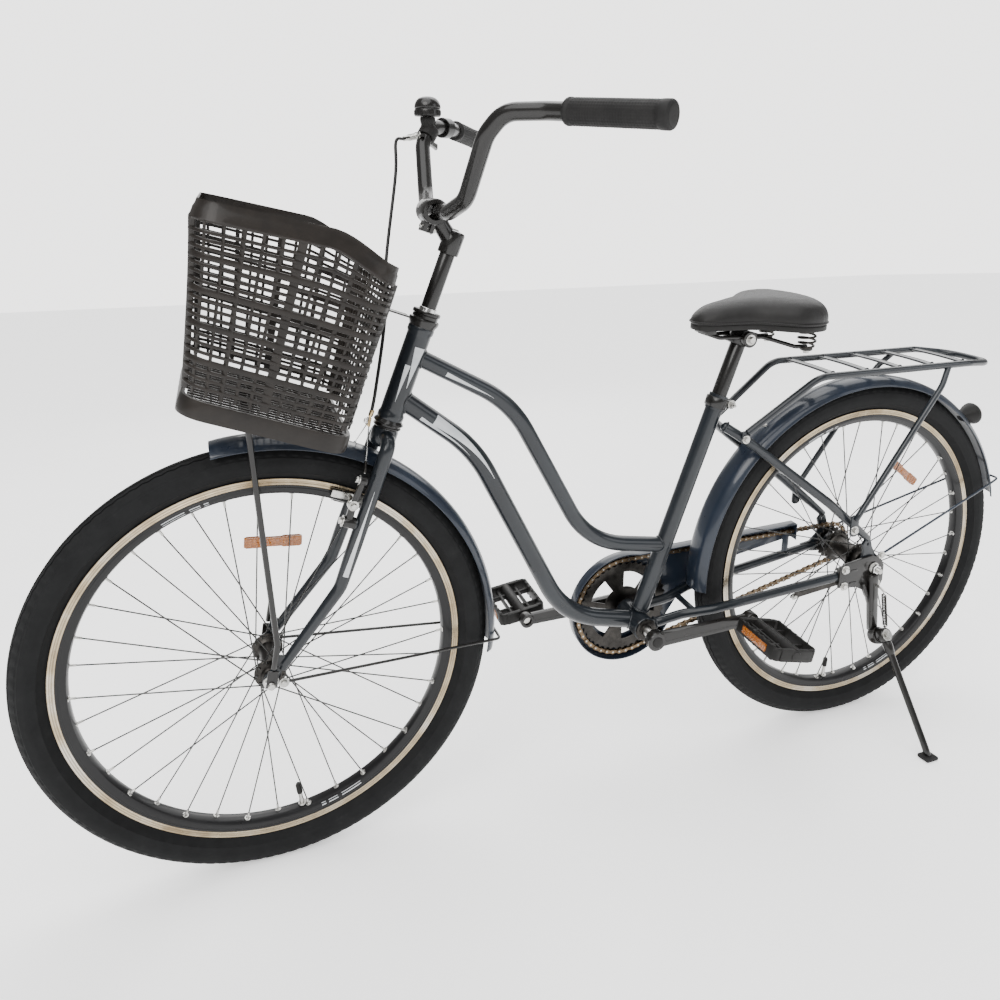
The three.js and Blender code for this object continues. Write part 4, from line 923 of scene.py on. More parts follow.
def stripe(path, radius, from_share, to_share, side_angle, spread, lift=0.2, taper=True, across=Y):
    """A thin pointed stripe that follows a tube's surface at an angle round from its side."""
    n = len(path)
    i0, i1 = int(from_share * (n - 1)), int(to_share * (n - 1))
    rows = []
    for i in range(i0, i1 + 1):
        t = unit(path[min(i + 1, n - 1)] - path[max(i - 1, 0)])
        out = unit(across - t * (across @ t))
        up = np.cross(out, t)
        s = (i - i0) / max(1, i1 - i0)
        half = spread * (max(0.04, 1 - s) if taper else 1.0)
        for r in (radius - 0.5, radius + lift):
            for k in range(5):
                a = math.radians(side_angle + half * (k / 2 - 1))
                rows.append(path[i] + r * (math.cos(a) * out + math.sin(a) * up))
    m = i1 - i0 + 1
    faces = []
    for i in range(m - 1):
        a, b = i * 10, (i + 1) * 10
        for k in range(4):
            faces += [(a + 5 + k, a + 6 + k, b + 6 + k, b + 5 + k), (a + k, b + k, b + k + 1, a + k + 1)]
        faces += [(a, a + 5, b + 5, b), (a + 4, b + 4, b + 9, a + 9)]
    last = (m - 1) * 10
    faces += [(0, 1, 2, 3, 4, 9, 8, 7, 6, 5), tuple(last + k for k in (5, 6, 7, 8, 9, 4, 3, 2, 1, 0))]
    return np.array(rows), faces


def stay_dropout(side):
    """The flat end of a chain stay that holds the axle, with its slot and eyelet."""
    outline = [(60, 319), (60, 331), (40, 334), (24, 348), (22, 366), (26, 378), (20, 386), (8, 384),
               (4, 372),
               (-4, 358), (-13, 350), (-17, 340), (-17, 322), (-10, 313), (6, 310), (34, 313)]
    hole = ring_outline(5.8, 20, 0, WHEEL_R)
    eyelet = ring_outline(2.6, 12, 15, 378)
    low = side * 57.5 - 2.5
    return plate(outline, 5, side_place(low), 0.8, holes=(hole, eyelet))


def make_frame():
    head = Piece("head_tube_painted", "frame", "slate_paint", SLATE, MARK, replaces=("head_tube",))
    a, b = steer_at(0, 0, HEAD_LOW), steer_at(0, 0, HEAD_HIGH)
    length = HEAD_HIGH - HEAD_LOW
    profile = [(15, 0), (18.6, 0), (19.2, 1.4), (19.2, 7), (17.6, 10), (17.5, 14), (17.5, length - 14),
               (17.6, length - 10), (19.2, length - 7), (19.2, length - 1.4), (18.6, length), (15, length)]
    head.add(lathe(profile, a, STEER_UP, 64))
    line = np.array([a + (b - a) * k / 30 for k in range(31)])
    for share, far, angle, spread in ((0.78, 0.36, 12, 26), (0.6, 0.2, -18, 13)):
        head.add(stripe(line[::-1], 17.5, 1 - share, 1 - far, angle, spread), 1)
        head.add(stripe(line[::-1], 17.5, 1 - share, 1 - far, angle, spread, across=-Y), 1)
    head.make()

    head_clear, end_clear = 34, 18  # where the swept part starts; coped() carries it on
    tubes = {"upper": (UPPER, 12.7, 190), "down": (DOWN, 14.6, 230)}
    for name, (points, radius, bend) in tubes.items():
        piece = Piece(name + "_tube_painted", "frame", "slate_paint", SLATE, MARK,
                      replaces=(name + "_tube",))
        path = even(rounded(points, bend, 4), 4)
        foot, axis, gauge = (BB, SEAT_DIR, 14.3) if name == "upper" else (BB, Y, 20.0)
        body = np.array([p for p in path if np.linalg.norm(np.cross(p - a, STEER_UP)) > head_clear
                         and np.linalg.norm(np.cross(p - foot, axis)) > gauge + end_clear])
        verts, faces = sweep(body, circle(radius, 32))
        first, last = range(32), range(len(verts) - 32, len(verts))
        t0, t1 = unit(body[0] - body[1]), unit(body[-1] - body[-2])
        coped(verts, first, a, STEER_UP, 17.1, t0)
        coped(verts, last, foot, axis, gauge - 0.4, t1)
        piece.add((verts, faces))
        piece.add(bead(verts, first, t0, body[0]))
        piece.add(bead(verts, last, t1, body[-1]))
        marks = ((0.055, 0.3, 16, 34), (0.02, 0.2, -26, 12)) if name == "down" else ((0.04, 0.2, -14, 15),)
        for lo, hi, angle, spread in marks:
            piece.add(stripe(body, radius, lo, hi, angle, spread), 1)
            piece.add(stripe(body, radius, lo, hi, -angle, spread, across=-Y), 1)
        piece.make(sharp=50)

    seat = Piece("seat_tube_painted", "frame", "slate_paint", SLATE, replaces=("seat_tube",))
    seat.add(sweep(np.array([seat_at(19 + (SEAT_TUBE - 19) * k / 24) for k in range(25)]),
                   circle(14.3, 40)))
    seat.add(weld(seat_at(21.5), SEAT_DIR, 15.2))
    seat.add(lathe([(12.9, -26), (15.6, -26), (15.9, -24), (15.6, 0), (12.9, 0)], seat_at(SEAT_TUBE),
                   SEAT_DIR, 48))
    seat.make(sharp=50)

    shell = Piece("bottom_bracket_painted", "frame", "slate_paint", SLATE, DARK_STEEL, ZINC,
                  replaces=("bottom_bracket_shell",))
    shell.add(lathe([(12.2, -34), (19, -34), (20, -33), (20, 33), (19, 34), (12.2, 34)], BB, Y, 64))
    for side in (1, -1):
        cup = [(9.2, 34), (17.2, 34), (18.4, 35), (18.4, 36.8), (16, 38.2), (12, 38.6), (9.2, 38.0)]
        shell.add(lathe([(r, side * h) for r, h in cup], BB, Y, 24), 1)
        for k in range(8):
            a0 = 45 * k
            notch = polar(BB, 18.0, a0, side * 36.0)
            shell.add(block((3.4, 2.6, 4), notch, 0.5), 1)
    shell.make()

    for side, tag in ((1, "left"), (-1, "right")):
        stay = Piece("chain_stay_" + tag + "_painted", "frame", "slate_paint", SLATE,
                     replaces=("chain_stay_" + tag,))
        path = rounded([v3(448, side * 27, 282), v3(372, side * 27, 290), v3(322, side * 41, 297),
                        v3(26, side * 57.5, 326)], 60, 5)
        path = trimmed(path, start=v3(448, side * 27, 282), start_cut=16)
        n = len(path)
        shape = [1.0 if k < n * 0.8 else 1 - 0.3 * ((k - n * 0.8) / (n * 0.2)) ** 2 for k in range(n)]
        stay.add(sweep(path, circle(8, 24), scale=shape, dome=3))
        stay.add(stay_dropout(side))
        stay.add(weld(path[0] + unit(path[1] - path[0]) * 4, path[1] - path[0], 8.6))
        stay.make(sharp=48)
        upper = Piece("seat_stay_" + tag + "_painted", "frame", "slate_paint", SLATE,
                      replaces=("seat_stay_" + tag,))
        path = rounded([seat_at(SEAT_TUBE - 42, side * 8.4), v3(278, side * 38, 596),
                        v3(112, side * 60, 470),
                        v3(14, side * 57.5, 388)], 120, 5)
        path = np.array([p for p in path if np.linalg.norm(np.cross(p - BB,
                                                                    SEAT_DIR)) > 13.2 or p[0] < 280])
        n = len(path)
        shape = [1.0 if k < n * 0.86 else 1 - 0.34 * ((k - n * 0.86) / (n * 0.14)) for k in range(n)]
        upper.add(sweep(path, circle(8, 24), scale=shape, dome=4))
        upper.add(weld(path[0] + unit(path[1] - path[0]) * 3, path[1] - path[0], 8.7))
        upper.make(sharp=48)
    bridge = Piece("stay_bridge", "frame", "slate_paint", SLATE, ZINC)
    bridge.add(rod(v3(176, -50.5, 519), v3(176, 50.5, 519), 4.6, 20))
    bridge.add(rod(v3(352, -24.5, 293), v3(352, 24.5, 293), 5.2, 20))
    bridge.make()

    for name, lo, hi, flip in (("lower", HEAD_LOW - 13, HEAD_LOW - 0.3, -1),
                               ("upper", HEAD_HIGH + 0.3, HEAD_HIGH + 24, 1)):
        cup = Piece("headset_" + name + "_race", "frame", "black_paint", BLACK, CHROME,
                    replaces=("headset_" + name + "_cup",))
        span = hi - lo
        profile = [(13.6, 0), (18.8, 0), (19.4, span * 0.1), (21.6, span * 0.28), (22, span * 0.42),
                   (21.4, span * 0.5),
                   (18.6, span * 0.56), (18.4, span * 0.74), (20.2, span * 0.8), (20.4, span * 0.92),
                   (19.6, span),
                   (13.6, span)]
        base = steer_at(0, 0, lo if flip > 0 else hi)
        cup.add(lathe([(r, flip * h) for r, h in profile], base, STEER_UP, 48))
        if flip > 0:
            nut = [(17.8, 0), (18.4, 1), (18.4, 7), (17.2, 8.2), (13.6, 8.2), (13.6, 0)]
            cup.add(lathe(nut, steer_at(0, 0, hi - 8.4), STEER_UP, 8))
        cup.make()

    clamp = Piece("seat_clamp_collar", "frame", "black_paint", BLACK, ZINC, replaces=("seat_clamp",))
    low_p, tall = seat_at(SEAT_TUBE - 22), 17.0
    clamp.add(lathe([(14.8, 0), (17.6, 0), (18.4, 1.2), (18.4, tall - 1.2), (17.6, tall), (14.8, tall)],
                    low_p, SEAT_DIR, 48))
    middle = seat_at(SEAT_TUBE - 14)
    for side in (1, -1):
        clamp.add(block((15, 5.6, 13), v3(middle[0] - 22, side * 5, middle[2] - 4), 1.4))
        clamp.add(bolt(v3(middle[0] - 25, side * 8, middle[2] - 4), Y * side, 8.5, 5), 1)
    clamp.add(rod(v3(middle[0] - 25, -19, middle[2] - 4), v3(middle[0] - 25, 19, middle[2] - 4), 2.5, 16),
              1)
    clamp.make()


# -------------------------------------------------------------------------- mudguards and stays
def guard_section(inner=False):
    """Half of a mudguard's crowned section: (out from the guard's radius, y), centre to lip."""
    half = [(0.6, 0), (0.5, 4), (0.0, 9), (-1.4, 14.5), (-3.8, 19.5), (-7.2, 23.6), (-11, 26.4),
            (-13.6, 27.6)]
    if inner:
        return [(u - 1.1, y * 0.955) for u, y in half]
    return half


def guard_part(centre, start, end, step=2.0):
    """A sheet-metal mudguard with a pressed rib each side of its crown and rolled lips."""
    outer = guard_section()
    rib = {3: 0.5}
    outer = [(u + rib.get(i, 0), y) for i, (u, y) in enumerate(outer)]
    loop = [(u, -y) for u, y in reversed(outer[1:])] + outer
    back = guard_section(True)
    loop += [(u, y) for u, y in reversed(back)] + [(u, -y) for u, y in back[1:]]
    count = int(abs(end - start) / step) + 1
    verts = []
    for i in range(count):
        angle = start + (end - start) * i / (count - 1)
        edge = min(i, count - 1 - i)
        tuck = {0: 0.55, 1: 0.2}.get(edge, 0.0)
        for u, y in loop:
            verts.append(polar(centre, GUARD_R + u - tuck, angle, y * (1 - tuck * 0.05)))
    m = len(loop)
    faces = grid_faces(count, m)
    faces += [tuple(range(m))[::-1], tuple(range((count - 1) * m, count * m))]
    return np.array(verts), faces


def lip_part(centre, start, end, side):
    path = [polar(centre, GUARD_R - 13.6, start + (end - start) * k / 120, side * 26.6) for k in range(121)]
    return sweep(np.array(path), circle(1.15, 10), dome=0.8)


def stay_part(centre, axle, half_width, degrees):
    """A wire stay with an eye at each axle end, bowed over the mudguard."""
    reach = GUARD_R + 3.4
    out = polar(v3(0, 0, 0), reach, degrees)
    points = []
    for side in (1, -1):
        leg = [axle + Y * side * half_width, v3(out[0] * 0.93, side * 32.5, out[2] * 0.93),
               out + Y * side * 30]
        points += leg if side > 0 else leg[::-1]
    return sweep(rounded([centre + p for p in points], 7, 3), circle(2.1, 12), dome=1)


def make_guards():
    for name, body, centre, start, end, look, slot_name in (
            ("rear_mudguard", "frame", REAR_AXLE, -2, 166, NAVY, "navy_paint"),
            ("front_mudguard", "steering", FRONT_AXLE, 80, 187, NAVY, "slate_paint")):
        piece = Piece(name + "_sheet", body, slot_name, look, ZINC, replaces=(name,))
        piece.add(guard_part(centre, start, end))
        for side in (1, -1):
            piece.add(lip_part(centre, start, end, side))
        for angle in ((160, 92, 52) if body == "frame" else (183, 111)):
            spot = polar(centre, GUARD_R + 0.4, angle)
            piece.add(lathe([(0.4, 0), (3.4, 0), (3.2, 1.6), (1.6, 2.4), (0.4, 2.5)], spot, spot - centre,
                            20), 1)
        piece.make(sharp=44)
    for name, body, centre, axle, half, angle, look in (
            ("rear_mudguard_stay", "frame", REAR_AXLE, v3(-16, 0, 22), 62.6, 160, NAVY),
            ("front_mudguard_stay", "steering", FRONT_AXLE, v3(-17, 0, -2), 57, 183, BLACK)):
        piece = Piece(name + "_wire", body, "navy_paint" if body == "frame" else "black_paint", look, ZINC,
                      replaces=(name,))
        piece.add(stay_part(centre, axle, half, angle))
        for side in (1, -1):
            eye = centre + axle + Y * side * half
            piece.add(lathe([(2.8, -1.6), (5.4, -1.6), (5.8, 0), (5.4, 1.6), (2.8, 1.6)], eye, Y, 20))
            piece.add(bolt(eye + Y * side * 1.4, Y * side, 8, 3.4), 1)
        piece.make()


def make_rack():
    piece = Piece("rear_rack_tubes", "frame", "slate_paint", SLATE, ZINC, replaces=("rear_rack",))
    left = [v3(283, 46, 612), v3(160, 60, 700), v3(-170, 60, 700), v3(-242, 44, 692)]
    hoop = left + [p * v3(1, -1, 1) for p in reversed(left)]
    piece.add(pipe(hoop, 6, 60, 20, 5, dome=1))
    for i in range(5):
        x = 128 - i * 72
        section = slab(3.6, 15.6, 1.7, 4)
        crown = [(y, 1.6 * math.cos(math.pi * y / 120)) for y in np.linspace(-57, 57, 17)]
        path = np.array([v3(x, y, RACK_Z + 1.6 + rise) for y, rise in crown])
        piece.add(sweep(path, section, up=Z))
        for side in (1, -1):
            piece.add(weld(v3(x, side * 53.5, RACK_Z + 1.6), Y, 4.4, 1.8))
    for side in (1, -1):
        leg = [v3(-122, side * 60, 700), v3(-96, side * 74, 668), v3(66, side * 77, 440)]
        path = rounded(leg, 60, 4)
        piece.add(sweep(path, circle(5, 20), dome=2))
        tab = [(u, v) for u, v in slab(17, 40, 6, 5) + np.array([66, 428])]
        piece.add(plate(tab, 3, side_place(side * 75 - 1.5), 0.6))
        piece.add(bolt(v3(66, side * 76.5, 420), Y * side, 9, 4.5), 1)
        toe = [v3(283, side * 46, 612)]
        piece.add(block((14, 3, 20), toe[0] + v3(2, -side * 1.5, -7), 1.2))
        piece.add(bolt(toe[0] + v3(3, side * 1, -11), Y * side, 8, 4), 1)
    piece.make(sharp=44)


def make_lamp():
    piece = Piece("tail_lamp_body", "frame", "dark_red_lens", SATIN, SMOKE, replaces=("tail_lamp",))
    root = polar(REAR_AXLE, GUARD_R + 1.2, 134)
    tilt = math.radians(-8)
    axis = v3(-math.cos(tilt), 0, -math.sin(tilt))
    base = polar(REAR_AXLE, GUARD_R - 6, 134)
    shell = [(0.6, 6), (8.2, 6.5), (9.2, 9), (11.6, 13), (15.4, 20), (18.8, 27), (20.6, 33), (20.8, 35.4),
             (20.2, 36),
             (0.6, 36)]
    piece.add(lathe(shell, base, axis, 48, closed=False))
    glass = [(19.4, 35.6), (20.0, 37.6), (17.4, 41.8), (13.6, 44.6), (7, 46.4), (0.6, 46.9)]
    piece.add(lathe([(0.6, 35.6), *glass], base, axis, 48, closed=False), 1)
    piece.add(block((18, 15, 3), root + unit(root - REAR_AXLE) * 1.2, 1.1,
                    (unit(np.cross(Y, root - REAR_AXLE)), Y, unit(root - REAR_AXLE))))
    piece.make()


def make_rear_axle():
    for name, body, centre, half, nut_y, thick, rad_ in (("rear_axle", "frame", REAR_AXLE, 82, 65.4, 9, 5),
                                                         ("front_axle", "steering", FRONT_AXLE, 68, 54.5, 8,
                                                          5)):
        piece = Piece(name + "_nuts", body, "steel", ZINC, CHROME, replaces=(name,))
        ridge = [(rad_ - 0.5, -half)]
        for k in range(13):
            y = -half + 1 + k * 1.5
            ridge += [(rad_, y), (rad_ - 0.45, y + 0.75)]
        rest = [(rad_ - 0.1, ridge[-1][1] + 1), (rad_ - 0.1, -ridge[-1][1] - 1)]
        piece.add(lathe(ridge + rest + [(r, -y) for r, y in reversed(ridge)], centre, Y, 20, closed=False))
        for side in (1, -1):
            spot = centre + Y * side * nut_y
            piece.add(lathe([(5.4, 0), (10.6, 0), (10.8, 0.6), (10.6, 1.6), (5.4, 1.6)], spot, Y * side,
                            32))
            nut = [(5.2, 1.6), (9.0, 1.6), (9.4, 2.6), (9.4, thick - 0.8), (8.2, thick + 0.4),
                   (5.2, thick + 0.4)]
            piece.add(lathe(nut, spot, Y * side, 6), 1)
        piece.make(sharp=25)


make_frame()
make_guards()
make_rack()
make_lamp()
make_rear_axle()


# --------------------------------------------------------------------- fork, stem and handlebar
BAR = [v3(793, 58, 973), v3(783, 102, 990), v3(774, 154, 1068), v3(756, 168, 1094), v3(716, 202, 1094),
       v3(634, 332, 1084)]
CABLE_EXIT = v3(796, -186, 1076)
CABLE_ROUTE = [CABLE_EXIT + v3(1, 0.6, 0), v3(812, -170, 1070), v3(818, -150, 1020), v3(846, -96, 900),
               steer_at(46, -30, 520), steer_at(34, 0, 430), steer_at(28, 0, 392)]


def bar_at(index, side):
    return BAR[index] * v3(1, side, 1)


def bar_line(step=4):
    return rounded([bar_at(i, 1) for i in range(5, -1, -1)] + [bar_at(i, -1) for i in range(6)], 44, step)


def steer_axes():
    return STEER_FWD, Y, STEER_UP


def make_fork():
    piece = Piece("fork_painted", "steering", "slate_paint", SLATE, BLACK, CHROME, MARK, replaces=("fork",))
    piece.add(rod(steer_at(0, 0, HEAD_LOW - 30), steer_at(0, 0, HEAD_HIGH + 29), 12.5, 32), 2)
    crown = [(0.5, 350), (13, 350.5), (17, 353), (19, 358), (19, 374), (18, 377), (18, HEAD_LOW - 14),
             (0.5, HEAD_LOW - 14)]
    piece.add(lathe(crown, STEER_FOOT, STEER_UP, 48, closed=False))
    for side in (1, -1):
        blade = [steer_at(0, side * 4, 370), steer_at(0, side * 40, 366), steer_at(0, side * 47, 150),
                 steer_at(FORK_OFFSET - 8, side * 52, 22)]
        path = rounded(blade, 46, 4)
        up = np.array([(p - STEER_FOOT) @ STEER_UP for p in path])
        shape = np.clip(0.66 + 0.34 * (up - 20) / 190, 0.66, 1.0)
        piece.add(sweep(path, circle(10.5, 28, 0.86), scale=shape, up=STEER_FWD * 0.9 + X * 0.1, dome=2))
        outline = [(-8, 30), (8, 32), (10, 18), (8, 6), (9, -8), (3, -14), (-6, -13), (-10, -4), (-9, 12)]
        spot = steer_at(FORK_OFFSET - 3, side * 50.2, 10)
        rel = FRONT_AXLE - spot
        cx, cz = rel @ STEER_FWD, rel @ STEER_UP
        hole = ring_outline(5.6, 16, cx, cz)
        outline = [(cx - 10, cz - 8), (cx - 4, cz - 12), (cx + 5, cz - 12), (cx + 11, cz - 6),
                   (cx + 11, cz + 6),
                   (cx + 6, cz + 14), (cx + 5, cz + 40), (cx - 9, cz + 40), (cx - 10, cz + 12)]
        piece.add(plate(outline, 4, lambda u, v, w,
                        s=spot: s + STEER_FWD * u + STEER_UP * v + Y * (w - 0.2),
                        0.8, holes=(hole,)))
        body = np.array([p for p in path if 70 < (p - STEER_FOOT) @ STEER_UP < 330][::-1])
        piece.add(stripe(body, 10.2, 0.5, 0.92, 4, 22, across=Y * side), 3)
        boss = steer_at(9.0, side * 47, 246)
        piece.add(shaft(boss, boss + STEER_FWD * 4, [(0, 8), (0.6, 7.6), (1, 6.4)], 24))
    piece.make(sharp=44)


def make_stem():
    piece = Piece("stem_quill", "steering", "black_paint", BLACK, ZINC, replaces=("stem",))
    top = 668
    piece.add(rod(steer_at(0, 0, 470), steer_at(0, 0, top), 11, 32))
    collar = [(11, 0), (14.2, 0), (15, 1.6), (15, 30), (13.6, 33), (8, 34.4), (6.4, 33.2), (0.5, 33.2)]
    piece.add(lathe(collar, steer_at(0, 0, 640), STEER_UP, 40, closed=False))
    piece.add(bolt(steer_at(0, 0, top + 3.0), STEER_UP, 9, 5.4, washer=False), 1)
    reach = steer_at(41, 0, 688)
    start = steer_at(0, 0, top - 10)
    path = np.array([start + (reach - start) * k / 10 for k in range(11)])
    piece.add(sweep(path, circle(13, 32), scale=[1.05, 1.0, 0.96, 0.92, 0.9, 0.9, 0.92, 0.96, 1.0, 1.06,
                                                 1.1]))
    ring = [(11.5, -22), (17.2, -22), (18, -20.6), (18, 20.6), (17.2, 22), (11.5, 22)]
    piece.add(lathe(ring, reach, Y, 56))
    down = unit(v3(0.35, 0, -1))
    ear = reach + down * 20
    for k in (1, -1):
        piece.add(block((20, 26, 6), ear + unit(np.cross(Y, down)) * k * 4.8, 1.4,
                        (down, Y, unit(np.cross(Y, down)))))
    across = unit(np.cross(Y, down))
    piece.add(bolt(ear + down * 3 + across * 7.6, across, 9, 5), 1)
    piece.add(rod(ear + down * 3 - across * 11, ear + down * 3 + across * 8, 2.8, 16), 1)
    piece.make(sharp=40)

    bar = Piece("handlebar_tube", "steering", "black_paint", BLACK, replaces=("handlebar",))
    bar.add(sweep(bar_line(), circle(11.1, 32), dome=0.6))
    for y in (13, -13, 17, -17):
        bar.add(lathe([(11.0, -0.7), (11.5, -0.3), (11.5, 0.3), (11.0, 0.7)],
                      bar_at(0, 1) * v3(1, 0, 1) + Y * y, Y, 48))
    bar.make()


def make_grip(side, tag):
    inner = bar_at(4, side) + (bar_at(5, side) - bar_at(4, side)) * 0.18
    outer = bar_at(5, side)
    along = unit(outer - inner)
    length = np.linalg.norm(outer - inner) + 5
    piece = Piece("grip_" + tag + "_sleeve", "steering", "black_plastic", GRIP, SATIN,
                  replaces=("grip_" + tag,))
    ref = unit(Z - along * (Z @ along))
    other = np.cross(along, ref)
    sides, rows, verts = 72, [], []
    stops = [0, 1.2, 3, 6, 7, 9, 10]
    while stops[-1] < length - 17:
        stops.append(stops[-1] + 1.05)
    stops += [length - 14, length - 13, length - 9, length - 3, length - 1, length]
    for s in stops:
        base = {0: 13.8, 1.2: 15.2, 3: 16.0, 6: 16.0, 7: 15.0, 9: 15.0}.get(s)
        tail = length - s
        if base is None and tail <= 14.1:
            base = {14: 15.0, 13: 16.0, 9: 16.2, 3: 16.2, 1: 15.2, 0: 13.0}[round(tail)]
        for k in range(sides):
            a = 2 * math.pi * k / sides
            r = base
            if r is None:
                dot = math.cos(12 * a + s * 0.9) * math.cos(12 * a - s * 0.9)
                r = 14.9 + 0.85 * max(0.0, dot) ** 0.6 + 0.25 * math.cos(2 * a)
            verts.append(inner + along * s + r * (math.cos(a) * ref + math.sin(a) * other))
        rows.append(s)
    n = len(rows)
    faces = grid_faces(n, sides)
    faces += [tuple(range(sides))[::-1], tuple(range((n - 1) * sides, n * sides))]
    piece.add((np.array(verts), faces))
    tip = inner + along * length
    piece.add(lathe([(0.5, 0.2), (3.2, 0.5), (6.4, 0.2), (10.6, 0.6), (12.2, 0.2), (12.2, -2), (0.5, -2)],
                    tip, along, 40,
                    closed=False), 1)
    piece.make(sharp=55)


def make_lever():
    band = bar_at(4, -1) + (bar_at(3, -1) - bar_at(4, -1)) * 0.3
    along = unit(bar_at(3, -1) - bar_at(4, -1))
    piece = Piece("brake_lever_clamp", "steering", "black_plastic", BLACK, ZINC, SATIN,
                  replaces=("brake_lever_body",))
    piece.add(lathe([(11.4, -9), (15, -9), (15.8, -8), (15.8, 8), (15, 9), (11.4, 9)], band, along, 48))
    neck = smooth_line([band + unit(v3(752, -206, 1084) - band) * 10, v3(752, -206, 1084),
                        v3(760, -205, 1082.6),
                        v3(772, -198, 1081)], 14)
    piece.add(sweep(neck, slab(15, 17, 5, 4), scale=np.linspace(1.0, 0.78, 15), up=Z, dome=2))
    piece.add(rod(v3(752, -222, 1074.4), v3(752, -222, 1074.9), 7, 20))
    exit_dir = unit(CABLE_EXIT - v3(768, -200, 1081.5))
    root = v3(768, -200, 1081.5)
    span = np.linalg.norm(CABLE_EXIT - root)
    knurl = [(0.5, 0), (5.2, 0), (5.2, span * 0.25)]
    for k in range(6):
        s = span * (0.3 + 0.075 * k)
        knurl += [(5.3, s), (4.6, s + 0.7)]
    knurl += [(4.2, span * 0.8), (3.9, span), (0.5, span)]
    piece.add(lathe(knurl, root, exit_dir, 20, closed=False), 1)
    piece.add(bolt(band + unit(np.cross(along, Z)) * 15.2 - Z * 3, np.cross(along, Z), 6, 3), 1)
    piece.make()

    blade = Piece("brake_lever_blade", "brake_lever", "black_paint", BLACK, ZINC, replaces=("brake_lever",))
    line = smooth_line([v3(752, -226, 1083), v3(745, -250, 1081.4), v3(733, -286, 1078),
                        v3(716, -322, 1074),
                        v3(700, -352, 1070)], 40)
    width = np.interp(np.arange(41), [0, 4, 12, 26, 36, 40], [0.72, 0.9, 1.0, 0.92, 1.0, 1.12])
    blade.add(sweep(line, slab(11.5, 6.4, 3, 4), scale=width, up=Z, dome=4))
    blade.add(rod(v3(752, -224, 1075.4), v3(752, -224, 1090.8), 7.6, 28))
    blade.add(bolt(v3(752, -224, 1090.8), Z, 7.4, 2.6, washer=False), 1)
    blade.make()


def make_bell():
    spot = v3(763, -163, 1084)
    piece = Piece("bell_strap", "steering", "black_plastic", SATIN, ZINC, replaces=("bell_base",))
    axis = unit(v3(12.5, 10, -18))
    piece.add(lathe([(11.4, -9), (14.2, -9), (15, -8), (15, 8), (14.2, 9), (11.4, 9)],
                    v3(763, -163, 1083.4), axis, 40))
    piece.add(shaft(spot + Z * 8, spot + Z * 24, [(0, 11), (0.3, 10.4), (0.6, 11.6), (0.9, 12), (1, 11.2)],
                    36))
    piece.add(block((8, 22, 5), v3(776, -152, 1080), 1.4))
    piece.add(bolt(v3(779, -150, 1080), X, 6, 3), 1)
    piece.make()
    dome = Piece("bell_shell", "bell_dome", "black_paint", BLACK, SATIN, CHROME, replaces=("bell_dome",))
    profile = [(0.5, 0), (12, 0), (19.4, 0.4), (20.4, 1.6), (20.5, 9.6), (20.1, 10.4), (19.5, 10.8),
               (19.5, 12.2),
               (20.1, 12.6), (20.4, 13.4), (20.2, 16), (19.2, 20), (17, 24), (13.4, 27.4), (8.4, 29.4),
               (4.6, 29.9),
               (0.5, 30)]
    dome.add(lathe([(r, h) for r, h in profile], spot + Z * 24.6, Z, 56, closed=False))
    for k in range(28):
        a = 2 * math.pi * k / 28
        out = v3(math.cos(a), math.sin(a), 0)
        dome.add(block((1.2, 1.6, 6), spot + Z * 30.4 + out * 20.3, 0.4, (out, np.cross(Z, out), Z)), 1)
    dome.make()


# -------------------------------------------------------------------------------- front brake
def make_brake():
    for side, tag in ((1, "left"), (-1, "right")):
        piece = Piece("brake_arm_" + tag + "_casting", "brake_arm_" + tag, "black_paint", BLACK, ZINC, GRIP,
                      replaces=("brake_arm_" + tag,))
        pivot = steer_at(11.6, side * 47, 246)
        piece.add(shaft(pivot, pivot + STEER_FWD * 17, [(0, 8), (0.12, 8.4), (0.85, 8.2), (1, 6.6)], 28))
        piece.add(bolt(pivot + STEER_FWD * 17, STEER_FWD, 9, 4.4), 1)
        spine = smooth_line([steer_at(21, side * 47, 248), steer_at(23, side * 51, 268),
                             steer_at(24, side * 57, 292),
                             steer_at(24, side * 60, 312)], 16)
        piece.add(sweep(spine, slab(10, 9, 3.4, 3), scale=np.linspace(1.12, 0.82, 17), up=STEER_FWD,
                        dome=2))
        wire = steer_at(18, side * 60, 312)
        piece.add(rod(wire, wire + STEER_FWD * 11, 5.4, 20))
        piece.add(bolt(wire + STEER_FWD * 11, STEER_FWD, 7.5, 4), 1)
        post_a, post_b = steer_at(24, side * 61, 274), steer_at(24, side * 24, 274)
        piece.add(rod(post_a, post_b, 3.4, 20), 1)
        piece.add(shaft(steer_at(24, side * 47, 274), steer_at(24, side * 57, 274),
                        [(0, 5), (0.2, 8), (0.8, 8), (1, 5.4)], 24), 1)
        piece.add(bolt(steer_at(24, side * 58, 274), Y * side, 8, 4), 1)
        holder = steer_at(26, side * 21.4, 273)
        axes = (STEER_FWD, Y, STEER_UP)
        piece.add(block((48, 3.2, 10.6), holder + Y * side * 0.6, 1.2, axes), 1)
        pad = [(-24.6, -4.4), (-20, -5.4), (22, -5.4), (24.8, -3.4), (24.8, 3.4), (22, 5.4), (-20, 5.4),
               (-24.6, 4.4)]
        place = lambda u, v, w: steer_at(26, side * 15.5, 273) + STEER_FWD * u + STEER_UP * v + Y * side * w
        piece.add(plate(pad, 4.8, place, 0.6), 2)
        piece.make(sharp=40)


